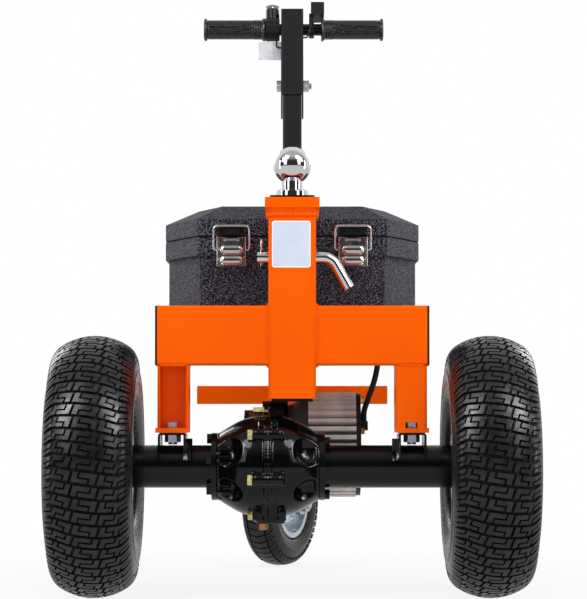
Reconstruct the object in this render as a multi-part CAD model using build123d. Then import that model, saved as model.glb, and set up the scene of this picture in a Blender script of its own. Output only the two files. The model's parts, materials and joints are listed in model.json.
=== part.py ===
from build123d import *
import math
import os

# Electric trailer dolly. Millimetres, +X to the right, +Y to the rear, +Z up.
# Pieces are placed from the middle of the drive axle, with the floor at Z = 0,
# and moved at the end so that the origin is under the middle of the whole dolly.

# General fits
RUN_FIT = 0.05
MOVE_GAP = 0.3
SEAT_GAP = 0.1

# Drive wheels
TYRE_RADIUS = 175.0
TYRE_WIDTH = 117.0
TYRE_CROWN_RADIUS = 80.0
TYRE_CROWN_SHARE = 0.8
TYRE_WALL = 9.0
TREAD_GROOVE_X = 17.5
TREAD_GROOVE_WIDTH = 2.2
TREAD_GROOVE_DEPTH = 5.0
TRACK = 528.0
RIM_SEAT_RADIUS = 76.0
RIM_LIP_HEIGHT = 8.0
RIM_SEAT_WIDTH = 88.0
RIM_THICKNESS = 3.0
WHEEL_DISC_INSET = 36.0
WHEEL_DISC_THICKNESS = 4.0

# Hubs, half shafts and wheel nuts
HUB_RADIUS = 60.0
HUB_THICKNESS = 10.0
HUB_PILOT_RADIUS = 28.0
HUB_PILOT_LENGTH = 9.0
STUD_COUNT = 4
STUD_CIRCLE_RADIUS = 50.0
STUD_RADIUS = 5.0
STUD_LENGTH = 17.0
LUG_NUT_ACROSS_FLATS = 17.0
LUG_NUT_HEIGHT = 9.0
HALF_SHAFT_RADIUS = 12.5

# Axle tubes
AXLE_TUBE_RADIUS = 28.5
AXLE_TUBE_BORE_RADIUS = 23.5
AXLE_TUBE_END_X = 214.0
AXLE_FLANGE_RADIUS = 45.0
AXLE_FLANGE_THICKNESS = 6.8
AXLE_BEARING_WIDTH = 12.0
FLANGE_BOLT_COUNT = 5
FLANGE_BOLT_CIRCLE_RADIUS = 37.2
FLANGE_BOLT_RADIUS = 4.0
FLANGE_BOLT_ACROSS_FLATS = 13.0
FLANGE_BOLT_HEAD_HEIGHT = 6.5
FLANGE_BOLT_TURN = 27.0

# Differential housing, split at its middle
DIFF_X = -32.0
DIFF_RADIUS = 67.0
DIFF_HALF_LENGTH = 68.7
DIFF_CROWN_HALF_WIDTH = 9.0
DIFF_NECK_STEP = 1.0
DIFF_NECK_START = 51.0
DIFF_WALL = 6.0
DIFF_RIB_RADIUS = 70.0
DIFF_RIB_HALF_WIDTH = 5.3
DIFF_FLANGE_THICKNESS = 6.0
SCOOP_RADIUS = 22.0
SCOOP_OFFSET = 56.0
SCOOP_FLOOR_RADIUS = 36.5
SCOOP_WALL = 3.5
SCOOP_ANGLES = [40.0, 140.0, 220.0, 320.0]
BOSS_CIRCLE_RADIUS = 70.0
BOSS_RADIUS = 9.0
BOSS_HALF_LENGTH = 20.8
BOSS_PITCH = 360.0 / 7.0
BOSS_FRONT_ANGLES = [BOSS_PITCH * step - 12.86 for step in (1, 0, -1, -2)]
BOSS_SCREW_RADIUS = 4.0
BOSS_SCREW_ACROSS_FLATS = 13.0
BOSS_SCREW_HEAD_HEIGHT = 6.0
DRAIN_PLUG_RADIUS = 7.3
DRAIN_PLUG_HEIGHT = 8.0
DRAIN_PLUG_OFFSET = -7.6
DRAIN_BLOCK_LEFT = 15.5
DRAIN_BLOCK_RIGHT = 22.0
DRAIN_BLOCK_DROP = 75.0
DRAIN_BLOCK_HEIGHT = 24.0
DRAIN_BLOCK_FRONT = 38.0
DRAIN_BLOCK_DEPTH = 26.0
DRAIN_PLUG_DEPTH = 6.5
VENT_BLOCK_LENGTH = 20.0
VENT_BLOCK_HEIGHT = 13.0
VENT_BLOCK_DEPTH = 18.0
VENT_ACROSS_FLATS = 11.5
VENT_LENGTH = 20.0

# Differential and reduction gears
GEAR_MODULE = 1.5
PRESSURE_ANGLE = 25.0
GEAR_BACKLASH = 0.2
RING_TEETH = 76
IDLER_PINION_TEETH = 15
IDLER_GEAR_TEETH = 52
MOTOR_PINION_TEETH = 15
RING_GEAR_WIDTH = 12.0
PINION_OVERHANG = 1.0
IDLER_GEAR_WIDTH = 10.0
RING_OFFSET = -11.0
IDLER_GEAR_OFFSET = 12.0
GEAR_LINE_TILT = 12.9
IDLER_SHAFT_RADIUS = 6.0
DIFF_CASE_RADIUS = 26.0
DIFF_CASE_WALL = 4.0
DIFF_CASE_END = 36.0
TRUNNION_RADIUS = 17.5
CARRIER_BEARING_RADIUS = 31.0
CARRIER_BEARING_WIDTH = 14.0
CARRIER_FLANGE_RADIUS = 42.0
CARRIER_FLANGE_WIDTH = 5.0
SPIDER_OFFSET = 17.0
SPIDER_PIN_RADIUS = 4.0
SIDE_GEAR_RADIUS = 17.0
SIDE_GEAR_WIDTH = 5.0
SIDE_GEAR_GAP = 9.5
SPIDER_GEAR_RADIUS = 8.0
SPIDER_GEAR_WIDTH = 7.0

# Gear case between the differential and the motor
GEAR_CASE_RADIUS = 48.0
GEAR_CASE_FLANGE_RADIUS = 61.0
GEAR_CASE_FLANGE_WIDTH = 35.0
GEAR_CASE_LEFT = -34.0
GEAR_CASE_RIGHT = 26.0
GEAR_CASE_LEFT_WALL = 12.0
GEAR_CASE_RIGHT_WALL = 8.0
GEAR_ROOM = 2.5
IDLER_BEARING_RADIUS = 14.0
IDLER_BEARING_WIDTH = 8.0
IDLER_BOSS_RADIUS = 18.0

# Motor
MOTOR_RADIUS = 72.5
FIN_HEIGHT = 6.0
FIN_COUNT = 38
FIN_SHARE = 0.62
MOTOR_BODY_START_X = 22.0
BELL_FRONT_RADIUS = 54.0
BELL_WALL = 12.0
MOTOR_BODY_LENGTH = 65.5
MOTOR_BODY_WALL = 6.5
MOTOR_END_THICKNESS = 6.5
MOTOR_END_RADIUS = 70.5
MOTOR_SHAFT_RADIUS = 6.0
MOTOR_BEARING_RADIUS = 16.0
MOTOR_BEARING_WIDTH = 9.0
MAGNET_COUNT = 4
MAGNET_THICKNESS = 6.0
MAGNET_SWEEP = 70.0
MAGNET_MARGIN = 8.0
AIR_GAP = 1.0
ROTOR_CORE_MARGIN = 9.0
COMMUTATOR_RADIUS = 20.0
COMMUTATOR_LENGTH = 7.0
MOTOR_SCREW_COUNT = 5
MOTOR_SCREW_RADIUS = 2.5
MOTOR_SCREW_ACROSS_FLATS = 8.0
MOTOR_SCREW_HEAD_HEIGHT = 5.0
MOTOR_SCREW_DEPTH = 12.0
TERMINAL_WIDTH = 16.0
TERMINAL_HEIGHT = 13.0
TERMINAL_DEPTH = 11.0
TERMINAL_RISE = 26.0

# Axle saddles, legs and beam
SADDLE_X = 160.0
SADDLE_WIDTH = 37.0
SADDLE_DEPTH = 60.0
SADDLE_PLATE = 3.0
SADDLE_RISE = 45.5
SADDLE_SKIRT = 10.0
SADDLE_LUG_WIDTH = 9.0
SADDLE_LUG_HEIGHT = 30.0
SADDLE_LUG_THICKNESS = 4.0
FRAME_BOLT_RADIUS = 6.0
FRAME_BOLT_ACROSS_FLATS = 19.0
FRAME_BOLT_HEAD_HEIGHT = 7.5
FRAME_NUT_HEIGHT = 10.0
FRAME_BOLT_TAIL = 3.0
FOOT_PLATE_WIDTH = 44.0
FOOT_PLATE_THICKNESS = 6.0
LEG_WIDTH = 42.0
LEG_DEPTH = 50.0
LEG_WALL = 3.5
LEG_LENGTH = 83.5
LEG_CORNER = 4.0
LEG_SLOT_WIDTH = 16.0
LEG_SLOT_HEIGHT = 8.0
BEAM_HALF_LENGTH = 180.0
BEAM_HEIGHT = 80.0
BEAM_DEPTH = 50.0
BEAM_WALL = 3.0
BEAM_CORNER = 5.0
END_CAP_THICKNESS = 2.8
END_CAP_PLUG_DEPTH = 12.0

# Receiver post, collar, inner tube and pin
POST_SIZE = 63.5
POST_WALL = 3.6
POST_CORNER = 5.5
POST_DROP = 44.0
POST_RISE = 144.0
COLLAR_SIZE = 73.0
COLLAR_HEIGHT = 14.0
COLLAR_CORNER = 4.0
COLLAR_PAD_HEIGHT = 9.0
COLLAR_PAD_DEPTH = 40.0
INNER_CLEARANCE = 0.3
INNER_WALL = 4.0
INNER_RISE = 1.0
INNER_LENGTH = 273.0
BALL_PLATE_THICKNESS = 2.0
BALL_PLATE_SIZE = 60.0
PIN_RADIUS = 7.5
PIN_DROP = 79.0
PIN_LEFT_REACH = 47.0
PIN_BEND_X = 52.8
PIN_BEND_ANGLE = 60.0
PIN_TAIL_DROP = 41.0
PIN_BEND_RADIUS = 20.0
PIN_HOLE_PITCH = 50.0
PIN_HOLE_COUNT = 3
CLIP_WIRE_RADIUS = 1.4
CLIP_INSET = 5.5
CLIP_LEG_BELOW = 11.0
CLIP_LEG_ABOVE = 12.0
CLIP_RING_RADIUS = 6.0

# Tow ball
BALL_DIAMETER = 50.8
BALL_CENTRE_RISE = 42.0
BALL_NECK_RADIUS = 14.0
BALL_FLANGE_RADIUS = 21.5
BALL_FLANGE_HEIGHT = 9.0
BALL_SHANK_RADIUS = 9.5
BALL_SHANK_LENGTH = 22.0
BALL_NUT_ACROSS_FLATS = 28.0
BALL_NUT_HEIGHT = 14.0

# Rear frame and caster post
RAIL_WIDTH = 30.0
RAIL_HEIGHT = 30.0
RAIL_WALL = 3.0
RAIL_RISE = 5.0
CASTER_Y = 600.0
CASTER_POST_WIDTH = 64.0
CASTER_POST_DEPTH = 60.0
CASTER_POST_WALL = 4.0
CASTER_PLATE_THICKNESS = 8.0
CROSS_BAR_LENGTH = 300.0
CROSS_BAR_HEIGHT = 28.6
CROSS_BAR_DEPTH = 28.0
CROSS_BAR_WALL = 3.0
CROSS_BAR_BOTTOM = 254.0
HANDLE_SEAT_DEPTH = 70.0

# Caster
CASTER_RADIUS = 97.5
CASTER_WIDTH = 56.0
CASTER_SHOULDER = 17.0
CASTER_TYRE_WALL = 7.0
CASTER_RIM_RADIUS = 49.0
CASTER_RIM_LIP = 5.0
CASTER_RIM_WIDTH = 40.0
CASTER_RIM_THICKNESS = 2.5
CASTER_HUB_RADIUS = 15.0
CASTER_HUB_WIDTH = 58.0
CASTER_AXLE_RADIUS = 8.0
CASTER_TRAIL = 43.0
CASTER_YAW = -25.0
FORK_GAP = 33.0
FORK_PLATE = 5.0
FORK_TOP_CLEARANCE = 10.0
FORK_CROWN_THICKNESS = 8.0
FORK_CROWN_LENGTH = 78.0
FORK_LEG_TOP_WIDTH = 52.0
FORK_LEG_EYE_RADIUS = 17.0
CASTER_NUT_ACROSS_FLATS = 24.0
CASTER_NUT_HEIGHT = 9.0
KINGPIN_RADIUS = 8.0
KINGPIN_NUT_HEIGHT = 10.0
SWIVEL_BEARING_RADIUS = 30.0
SWIVEL_BEARING_HEIGHT = 17.0

# Battery box
BOX_FRONT_Y = 55.0
BOX_DEPTH = 320.0
BOX_FRONT_HALF_WIDTH = 129.8
BOX_HALF_WIDTH = 180.0
BOX_FACET_DEPTH = 129.0
BOX_REAR_FACET = 45.0
BOX_WALL = 4.0
BODY_INSET = 5.0
TUB_HEIGHT = 141.0
BAND_HEIGHT = 25.0
TONGUE_HEIGHT = 2.0
LID_GAP = 0.3
LID_RIM_HEIGHT = 23.0
LID_RISE = 21.0
LID_TOP_INSET = 48.0
HINGE_OFFSET = 7.5
HINGE_RADIUS = 5.5
HINGE_PIN_RADIUS = 2.5
HINGE_KNUCKLE = 18.0
HINGE_X = 90.0
HINGE_LEAF_THICKNESS = 2.0
HINGE_LEAF_HEIGHT = 16.0

# Batteries, controller and cable
BATTERY_WIDTH = 130.0
BATTERY_LENGTH = 196.0
BATTERY_HEIGHT = 160.0
BATTERY_SPACING = 3.0
BATTERY_SETBACK = 80.0
TERMINAL_POST_RADIUS = 6.0
TERMINAL_POST_HEIGHT = 12.0
TERMINAL_POST_INSET = 22.0
CONTROLLER_WIDTH = 120.0
CONTROLLER_DEPTH = 40.0
CONTROLLER_HEIGHT = 80.0
CONTROLLER_SETBACK = 20.0
CONTROLLER_FIN_COUNT = 6
CABLE_RADIUS = 4.0
GLAND_X = 120.0
GLAND_RADIUS = 8.0
GLAND_LENGTH = 10.0
GLAND_NUT_ACROSS_FLATS = 19.0
GLAND_NUT_HEIGHT = 5.0

# Draw latches
LATCH_X = 83.0
LATCH_BASE_WIDTH = 35.0
LATCH_BASE_HEIGHT = 22.0
LATCH_BASE_THICKNESS = 1.5
LATCH_EAR_THICKNESS = 2.0
LATCH_EAR_X = 9.0
LATCH_EAR_RADIUS = 3.4
LATCH_PIVOT_OUT = 8.5
LATCH_PIVOT_DROP = 4.0
LATCH_PIN_RADIUS = 1.75
LEVER_WIDTH = 40.0
LEVER_ABOVE = 4.0
LEVER_BELOW = 36.7
LEVER_PLATE = 2.0
LEVER_STANDOFF = 6.0
LEVER_NOTCH_WIDTH = 24.0
LEVER_NOTCH_DEPTH = 12.0
LEVER_FLANGE_DEPTH = 8.0
LEVER_LOUVRE_RADIUS = 5.0
LEVER_LOUVRE_WIDTH = 28.0
BAIL_WIRE_RADIUS = 1.5
BAIL_WIDTH = 51.5
BAIL_HEIGHT = 33.0
BAIL_PIVOT_DROP = 14.0
BAIL_CORNER = 6.0
KEEPER_WIDTH = 34.7
KEEPER_HEIGHT = 12.9
KEEPER_DEPTH = 7.7
KEEPER_RISE = 3.5

# Handle
HANDLE_LEAN = 17.0
HANDLE_PIVOT_Y = 607.0
HANDLE_PIVOT_Z = 765.0
LOWER_TUBE_SIZE = 30.0
UPPER_TUBE_SIZE = 36.0
UPPER_TUBE_WALL = 2.6
LOWER_TUBE_WALL = 2.5
CHEEK_DROP = 50.5
FRONT_WALL_DROP = 22.0
REAR_WALL_RISE = 24.0
UPPER_TUBE_RISE = 129.7
PIVOT_BOLT_RADIUS = 5.0
PIVOT_HEAD_ACROSS_FLATS = 16.0
PIVOT_HEAD_HEIGHT = 7.0
PIVOT_NUT_HEIGHT = 9.0
HANDLE_BASE_THICKNESS = 5.0
HANDLE_BASE_LENGTH = 66.0
HANDLE_BASE_WIDTH = 62.0
BAR_RISE = 100.4
BAR_RADIUS = 9.5
BAR_LEFT_REACH = 141.0
BAR_RIGHT_REACH = 145.5
GRIP_RADIUS = 15.6
GRIP_WALL_FIT = 0.1
GRIP_FLANGE_RADIUS = 18.2
GRIP_FLANGE_WIDTH = 5.0
GRIP_FLARE_RADIUS = 19.0
GRIP_FLARE_WIDTH = 4.0
GRIP_INNER_X = 46.9
GRIP_END_WALL = 2.1
THROTTLE_WIDTH = 23.0
THROTTLE_RADIUS = 19.0
THROTTLE_INNER_X = 20.4
KEY_BARREL_RADIUS = 11.0
KEY_BARREL_HEIGHT = 15.0
KEY_BLADE_RADIUS = 3.0
KEY_BLADE_LENGTH = 9.0
KEY_BOW_WIDTH = 21.0
KEY_BOW_HEIGHT = 9.0
KEY_BOW_THICKNESS = 2.4
SWITCH_BOX_X = 30.4
SWITCH_BOX_WIDTH = 21.5
SWITCH_BOX_HEIGHT = 22.0
SWITCH_BOX_DEPTH = 32.0
SWITCH_BOX_RISE = 20.5
SWITCH_BOX_WALL = 2.5
SWITCH_CLAMP_RADIUS = 14.0
SWITCH_CLAMP_WIDTH = 8.0
ROCKER_WIDTH = 12.0
ROCKER_HEIGHT = 15.0
ROCKER_THICKNESS = 9.0
ROCKER_PIN_RADIUS = 1.5
WIRE_RADIUS = 1.3

# Sizes worked out from the ones above
AXLE_Z = TYRE_RADIUS
WHEEL_X = TRACK / 2
HUB_FACE_X = WHEEL_X - WHEEL_DISC_INSET - WHEEL_DISC_THICKNESS / 2
SADDLE_TOP_Z = AXLE_Z + SADDLE_RISE
FOOT_TOP_Z = SADDLE_TOP_Z + FOOT_PLATE_THICKNESS
BEAM_BOTTOM_Z = FOOT_TOP_Z + LEG_LENGTH
BEAM_TOP_Z = BEAM_BOTTOM_Z + BEAM_HEIGHT
POST_BOTTOM_Z = BEAM_BOTTOM_Z - POST_DROP
POST_TOP_Z = BEAM_TOP_Z + POST_RISE
INNER_SIZE = POST_SIZE - 2 * POST_WALL - 2 * INNER_CLEARANCE
INNER_TOP_Z = POST_TOP_Z + INNER_RISE
BALL_SEAT_Z = INNER_TOP_Z + BALL_PLATE_THICKNESS
PIN_Z = POST_TOP_Z - PIN_DROP
RAIL_BOTTOM_Z = BEAM_BOTTOM_Z + RAIL_RISE
RAIL_TOP_Z = RAIL_BOTTOM_Z + RAIL_HEIGHT
RAIL_X = (CASTER_POST_WIDTH + RAIL_WIDTH) / 2
CROWN_Z = 2 * CASTER_RADIUS + FORK_TOP_CLEARANCE
CROWN_TOP_Z = CROWN_Z + FORK_CROWN_THICKNESS
CASTER_PLATE_Z = CROWN_TOP_Z + MOVE_GAP + SWIVEL_BEARING_HEIGHT
BODY_TOP_Z = RAIL_TOP_Z + TUB_HEIGHT - BAND_HEIGHT
BAND_TOP_Z = RAIL_TOP_Z + TUB_HEIGHT
LID_BOTTOM_Z = BAND_TOP_Z + TONGUE_HEIGHT
FLOOR_TOP_Z = RAIL_TOP_Z + BOX_WALL
BOX_REAR_Y = BOX_FRONT_Y + BOX_DEPTH
HINGE_Y = BOX_REAR_Y + HINGE_OFFSET
HINGE_Z = BAND_TOP_Z
RING_X = DIFF_X + RING_OFFSET
IDLER_GEAR_X = DIFF_X + IDLER_GEAR_OFFSET
IDLER_DISTANCE = GEAR_MODULE * (RING_TEETH + IDLER_PINION_TEETH) / 2
MOTOR_DISTANCE = IDLER_DISTANCE + GEAR_MODULE * (IDLER_GEAR_TEETH + MOTOR_PINION_TEETH) / 2
SPIDER_X = DIFF_X + SPIDER_OFFSET
GEAR_CASE_LEFT_X = DIFF_X + GEAR_CASE_LEFT
GEAR_CASE_RIGHT_X = DIFF_X + GEAR_CASE_RIGHT
MOTOR_BODY_END_X = MOTOR_BODY_START_X + MOTOR_BODY_LENGTH
MOTOR_CORE_RADIUS = MOTOR_RADIUS - FIN_HEIGHT
MOTOR_BORE_RADIUS = MOTOR_CORE_RADIUS - MOTOR_BODY_WALL
ROTOR_RADIUS = MOTOR_BORE_RADIUS - MAGNET_THICKNESS - AIR_GAP
MOTOR_Y = MOTOR_DISTANCE * math.cos(math.radians(GEAR_LINE_TILT))
MOTOR_Z = AXLE_Z + MOTOR_DISTANCE * math.sin(math.radians(GEAR_LINE_TILT))
BATTERY_FRONT_Y = BOX_FRONT_Y + BATTERY_SETBACK
BATTERY_REAR_Y = BATTERY_FRONT_Y + BATTERY_LENGTH
CONTROLLER_Y = BOX_FRONT_Y + CONTROLLER_SETBACK + CONTROLLER_DEPTH / 2
GLAND_Y = MOTOR_Y
LATCH_PIVOT_Y = BOX_FRONT_Y - LATCH_PIVOT_OUT
LATCH_PIVOT_Z = BAND_TOP_Z - LATCH_PIVOT_DROP
HANDLE_FRAME = Pos(0, HANDLE_PIVOT_Y, HANDLE_PIVOT_Z) * Rot(-HANDLE_LEAN, 0, 0)
GEAR_FRAME = Pos(0, 0, AXLE_Z) * Rot(GEAR_LINE_TILT, 0, 0)
CASTER_FRAME = Pos(0, CASTER_Y, 0) * Rot(0, 0, CASTER_YAW)


def block(x, y, z):
    """A box from its spans along X, Y and Z."""
    spans = (x, y, z)
    size = [span[1] - span[0] for span in spans]
    middle = [(span[0] + span[1]) / 2 for span in spans]
    return Pos(*middle) * Box(*size)


def around(middle, width):
    """The span of this width round a middle."""
    return (middle - width / 2, middle + width / 2)


def rod_x(radius, x, y=0.0, z=0.0):
    """A cylinder along X over the span x."""
    return Pos((x[0] + x[1]) / 2, y, z) * Rot(0, 90, 0) * Cylinder(radius, x[1] - x[0])


def rod_y(radius, y, x=0.0, z=0.0):
    """A cylinder along Y over the span y."""
    return Pos(x, (y[0] + y[1]) / 2, z) * Rot(90, 0, 0) * Cylinder(radius, y[1] - y[0])


def rod_z(radius, z, x=0.0, y=0.0):
    """A cylinder along Z over the span z."""
    return Pos(x, y, (z[0] + z[1]) / 2) * Cylinder(radius, z[1] - z[0])


def hex_x(across_flats, x, y=0.0, z=0.0):
    """A hexagonal bar along X over the span x."""
    section = Plane.YZ.offset(x[0]) * RegularPolygon(across_flats / 2, 6, major_radius=False)
    return Pos(0, y, z) * extrude(section, amount=x[1] - x[0])


def hex_z(across_flats, z, x=0.0, y=0.0):
    """A hexagonal bar along Z over the span z."""
    section = Pos(x, y, z[0]) * RegularPolygon(across_flats / 2, 6, major_radius=False)
    return extrude(section, amount=z[1] - z[0])


def ring_x(outer, inner, x, y=0.0, z=0.0):
    """A ring about an axis along X."""
    return rod_x(outer, x, y, z) - rod_x(inner, x, y, z)


def turned_x(points):
    """A solid turned about the X axis from (x, radius) points."""
    return revolve(make_face(Polyline(*points, close=True)), Axis.X)


def prism_z(points, z):
    """An upright prism with this outline over the span z."""
    return Pos(0, 0, z[0]) * extrude(make_face(Polyline(*points, close=True)), amount=z[1] - z[0])


def square_tube_z(size, wall, corner, z):
    """An upright square tube with rounded corners."""
    outer = RectangleRounded(size, size, corner)
    inner = RectangleRounded(size - 2 * wall, size - 2 * wall, max(corner - wall, 0.5))
    return Pos(0, 0, z[0]) * extrude(outer - inner, amount=z[1] - z[0])


def tube_x(depth, height, wall, corner, x, y=0.0, z=0.0):
    """A rectangular tube along X."""
    outer = RectangleRounded(depth, height, corner)
    inner = RectangleRounded(depth - 2 * wall, height - 2 * wall, max(corner - wall, 0.5))
    return Pos(0, y, z) * extrude(Plane.YZ.offset(x[0]) * (outer - inner), amount=x[1] - x[0])


def wire_along(points, radius):
    """A round wire on straight runs, joined by arcs as large as the runs allow."""
    corners = []
    for before, here, after in zip(points, points[1:], points[2:]):
        come = Vector(*here) - Vector(*before)
        go = Vector(*after) - Vector(*here)
        turn = math.radians(come.get_angle(go))
        corners.append(0.45 * min(come.length, go.length) / math.tan(turn / 2))
    print("wire radii", [round(corner, 1) for corner in corners])
    if corners:
        path = FilletPolyline(*points, radius=corners)
    else:
        path = Line(*points)
    section = Plane(path @ 0, z_dir=path % 0) * Circle(radius)
    return sweep(section, path=path)


def bolt_circle(count, radius, start=0.0):
    """Places (y, z) round the X axis, the first at this angle above +Y."""
    places = []
    for step in range(count):
        angle = math.radians(start + 360.0 * step / count)
        places.append((radius * math.cos(angle), radius * math.sin(angle)))
    return places


def group(*shapes):
    """One node of separate solids."""
    return Compound([solid for shape in shapes for solid in shape.solids()])


def mirrored(shape):
    """The same piece on the other side of the dolly."""
    return mirror(shape, about=Plane.YZ)


def gear_outline(teeth, phase):
    """The closed outline of an involute spur gear about the origin."""
    pressure = math.radians(PRESSURE_ANGLE)
    pitch_radius = GEAR_MODULE * teeth / 2
    base_radius = pitch_radius * math.cos(pressure)
    tip_radius = pitch_radius + GEAR_MODULE
    root_radius = pitch_radius - 1.25 * GEAR_MODULE
    start_radius = max(base_radius, root_radius)
    half_tooth = math.pi / (2 * teeth) - GEAR_BACKLASH / (2 * pitch_radius)
    pitch_involute = math.tan(pressure) - pressure
    steps = 2
    flank = []
    for step in range(steps + 1):
        radius = start_radius + (tip_radius - start_radius) * step / steps
        roll = math.acos(base_radius / radius)
        flank.append((radius, half_tooth + pitch_involute - math.tan(roll) + roll))
    if base_radius > root_radius:
        flank.insert(0, (root_radius, flank[0][1]))
    points = []
    for tooth in range(teeth):
        middle = phase + 2 * math.pi * tooth / teeth
        rising = [(radius, middle - angle) for radius, angle in flank]
        falling = [(radius, middle + angle) for radius, angle in reversed(flank)]
        points += [(r * math.cos(a), r * math.sin(a)) for r, a in rising + falling]
    return points


def gear_x(teeth, phase, x, distance=0.0):
    """A spur gear about an axis along X, this far out on the gear line."""
    face = Plane.YZ.offset(x[0]) * make_face(Polyline(*gear_outline(teeth, phase), close=True))
    return Pos(0, distance, 0) * extrude(face, amount=x[1] - x[0])


def meshing_phase(teeth):
    """The phase that puts a gap towards the gear nearer the axle."""
    return math.pi + math.pi / teeth


def tyre_tread(half, inset):
    """The corners of the tread's rounded section, this far inside it, with their radii."""
    sweep = math.asin(TYRE_CROWN_SHARE * TYRE_WIDTH / 2 / TYRE_CROWN_RADIUS)
    peak = TYRE_RADIUS - TYRE_CROWN_RADIUS + (TYRE_CROWN_RADIUS - inset) / math.cos(sweep)
    edge = peak - half * math.tan(sweep)
    run = (1 - TYRE_CROWN_SHARE) * TYRE_WIDTH / 2 / math.cos(sweep)
    shoulder = 0.99 * run / math.tan((math.pi / 2 - sweep) / 2)
    radii = [shoulder - inset, TYRE_CROWN_RADIUS - inset, shoulder - inset]
    return [(-half, edge), (0, peak), (half, edge)], radii


def drive_tyre():
    """A hollow tyre about the X axis, with two grooves round its rounded tread."""
    half = TYRE_WIDTH / 2
    bead = RIM_SEAT_WIDTH / 2
    bead_radius = RIM_SEAT_RADIUS + SEAT_GAP
    lip = bead_radius + RIM_LIP_HEIGHT
    waist = (TYRE_RADIUS + bead_radius) / 2
    tread, radii = tyre_tread(half, 0.0)
    outer = FilletPolyline(
        (-bead, bead_radius), (-bead, lip + 2), (-half, waist), *tread,
        (half, waist), (bead, lip + 2), (bead, bead_radius), radius=[4, 20, *radii, 20, 4],
    )
    toe = bead - TYRE_WALL
    inner_half = half - TYRE_WALL
    hollow, inner_radii = tyre_tread(inner_half, TYRE_WALL)
    inner = FilletPolyline(
        (-toe, bead_radius), (-toe, lip), (-inner_half, waist), *hollow,
        (inner_half, waist), (toe, lip), (toe, bead_radius), radius=[3, 15, *inner_radii, 15, 3],
    )
    right_bead = Line((toe, bead_radius), (bead, bead_radius))
    left_bead = Line((-bead, bead_radius), (-toe, bead_radius))
    tyre = revolve(make_face([*outer.edges(), *inner.edges(), right_bead, left_bead]), Axis.X)
    for groove_x in (-TREAD_GROOVE_X, TREAD_GROOVE_X):
        groove = around(groove_x, TREAD_GROOVE_WIDTH)
        tyre -= ring_x(TYRE_RADIUS + 1, TYRE_RADIUS - TREAD_GROOVE_DEPTH, groove)
    return tyre


def drive_rim():
    """The rim of the right wheel about the X axis, its disc towards the middle."""
    seat = RIM_SEAT_RADIUS
    half = RIM_SEAT_WIDTH / 2 + SEAT_GAP
    barrel = ring_x(seat, seat - RIM_THICKNESS, (-half - RIM_THICKNESS, half + RIM_THICKNESS))
    for side in (-1, 1):
        lip = sorted((side * half, side * (half + RIM_THICKNESS)))
        barrel += ring_x(seat + RIM_LIP_HEIGHT, seat - RIM_THICKNESS, lip)
    disc_x = around(-WHEEL_DISC_INSET, WHEEL_DISC_THICKNESS)
    barrel += ring_x(seat - RIM_THICKNESS + 0.5, HUB_PILOT_RADIUS + SEAT_GAP, disc_x)
    for y, z in bolt_circle(STUD_COUNT, STUD_CIRCLE_RADIUS, 45):
        barrel -= rod_x(STUD_RADIUS + SEAT_GAP, disc_x, y, z)
    return barrel


def half_shaft(inner_x):
    """The right half shaft with its hub, studs and side gear, about the X axis."""
    shaft = rod_x(HALF_SHAFT_RADIUS, (inner_x, HUB_FACE_X))
    shaft += rod_x(HUB_RADIUS, (HUB_FACE_X - HUB_THICKNESS, HUB_FACE_X))
    shaft += rod_x(HUB_PILOT_RADIUS, (HUB_FACE_X, HUB_FACE_X + HUB_PILOT_LENGTH))
    for y, z in bolt_circle(STUD_COUNT, STUD_CIRCLE_RADIUS, 45):
        shaft += rod_x(STUD_RADIUS, (HUB_FACE_X, HUB_FACE_X + STUD_LENGTH), y, z)
    return shaft


def lug_nuts():
    """The right wheel's nuts about the X axis, seated on the wheel disc."""
    start = HUB_FACE_X + WHEEL_DISC_THICKNESS
    nuts = []
    for y, z in bolt_circle(STUD_COUNT, STUD_CIRCLE_RADIUS, 45):
        nut = hex_x(LUG_NUT_ACROSS_FLATS, (start, start + LUG_NUT_HEIGHT), y, z)
        nuts.append(nut - rod_x(STUD_RADIUS + SEAT_GAP, (start, start + LUG_NUT_HEIGHT), y, z))
    return group(*nuts)


def drive_wheels(parts):
    """Tyres, rims, half shafts and nuts of both drive wheels."""
    place = Pos(0, 0, AXLE_Z)
    tyre = Pos(WHEEL_X, 0, AXLE_Z) * drive_tyre()
    rim = Pos(WHEEL_X, 0, AXLE_Z) * drive_rim()
    nuts = place * lug_nuts()
    parts["drive_tyre_right"] = tyre
    parts["drive_tyre_left"] = mirrored(tyre)
    parts["drive_rim_right"] = rim
    parts["drive_rim_left"] = mirrored(rim)
    parts["lug_nuts_right"] = nuts
    parts["lug_nuts_left"] = group(mirrored(nuts))
    gear_right = around(SPIDER_X + SIDE_GEAR_GAP + SIDE_GEAR_WIDTH / 2, SIDE_GEAR_WIDTH)
    gear_left = around(SPIDER_X - SIDE_GEAR_GAP - SIDE_GEAR_WIDTH / 2, SIDE_GEAR_WIDTH)
    right = half_shaft(gear_right[0]) + rod_x(SIDE_GEAR_RADIUS, gear_right)
    left = mirrored(half_shaft(-gear_left[1])) + rod_x(SIDE_GEAR_RADIUS, gear_left)
    parts["half_shaft_right"] = place * right
    parts["half_shaft_left"] = place * left


def diff_outline():
    """Half of the housing's outer outline, as (offset from its middle, radius)."""
    end = DIFF_HALF_LENGTH
    neck = AXLE_FLANGE_RADIUS - DIFF_NECK_STEP
    crown = DIFF_CROWN_HALF_WIDTH
    middle = ((crown + DIFF_NECK_START) / 2 + 6, (DIFF_RADIUS + neck) / 2 + 4)
    top = Line((0, DIFF_RADIUS), (crown, DIFF_RADIUS))
    globe = ThreePointArc((crown, DIFF_RADIUS), middle, (DIFF_NECK_START, neck))
    tail = Polyline((DIFF_NECK_START, neck), (end, neck), (end, 0), (0, 0), (0, DIFF_RADIUS))
    return make_face([top, globe, *tail.edges()])


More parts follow.
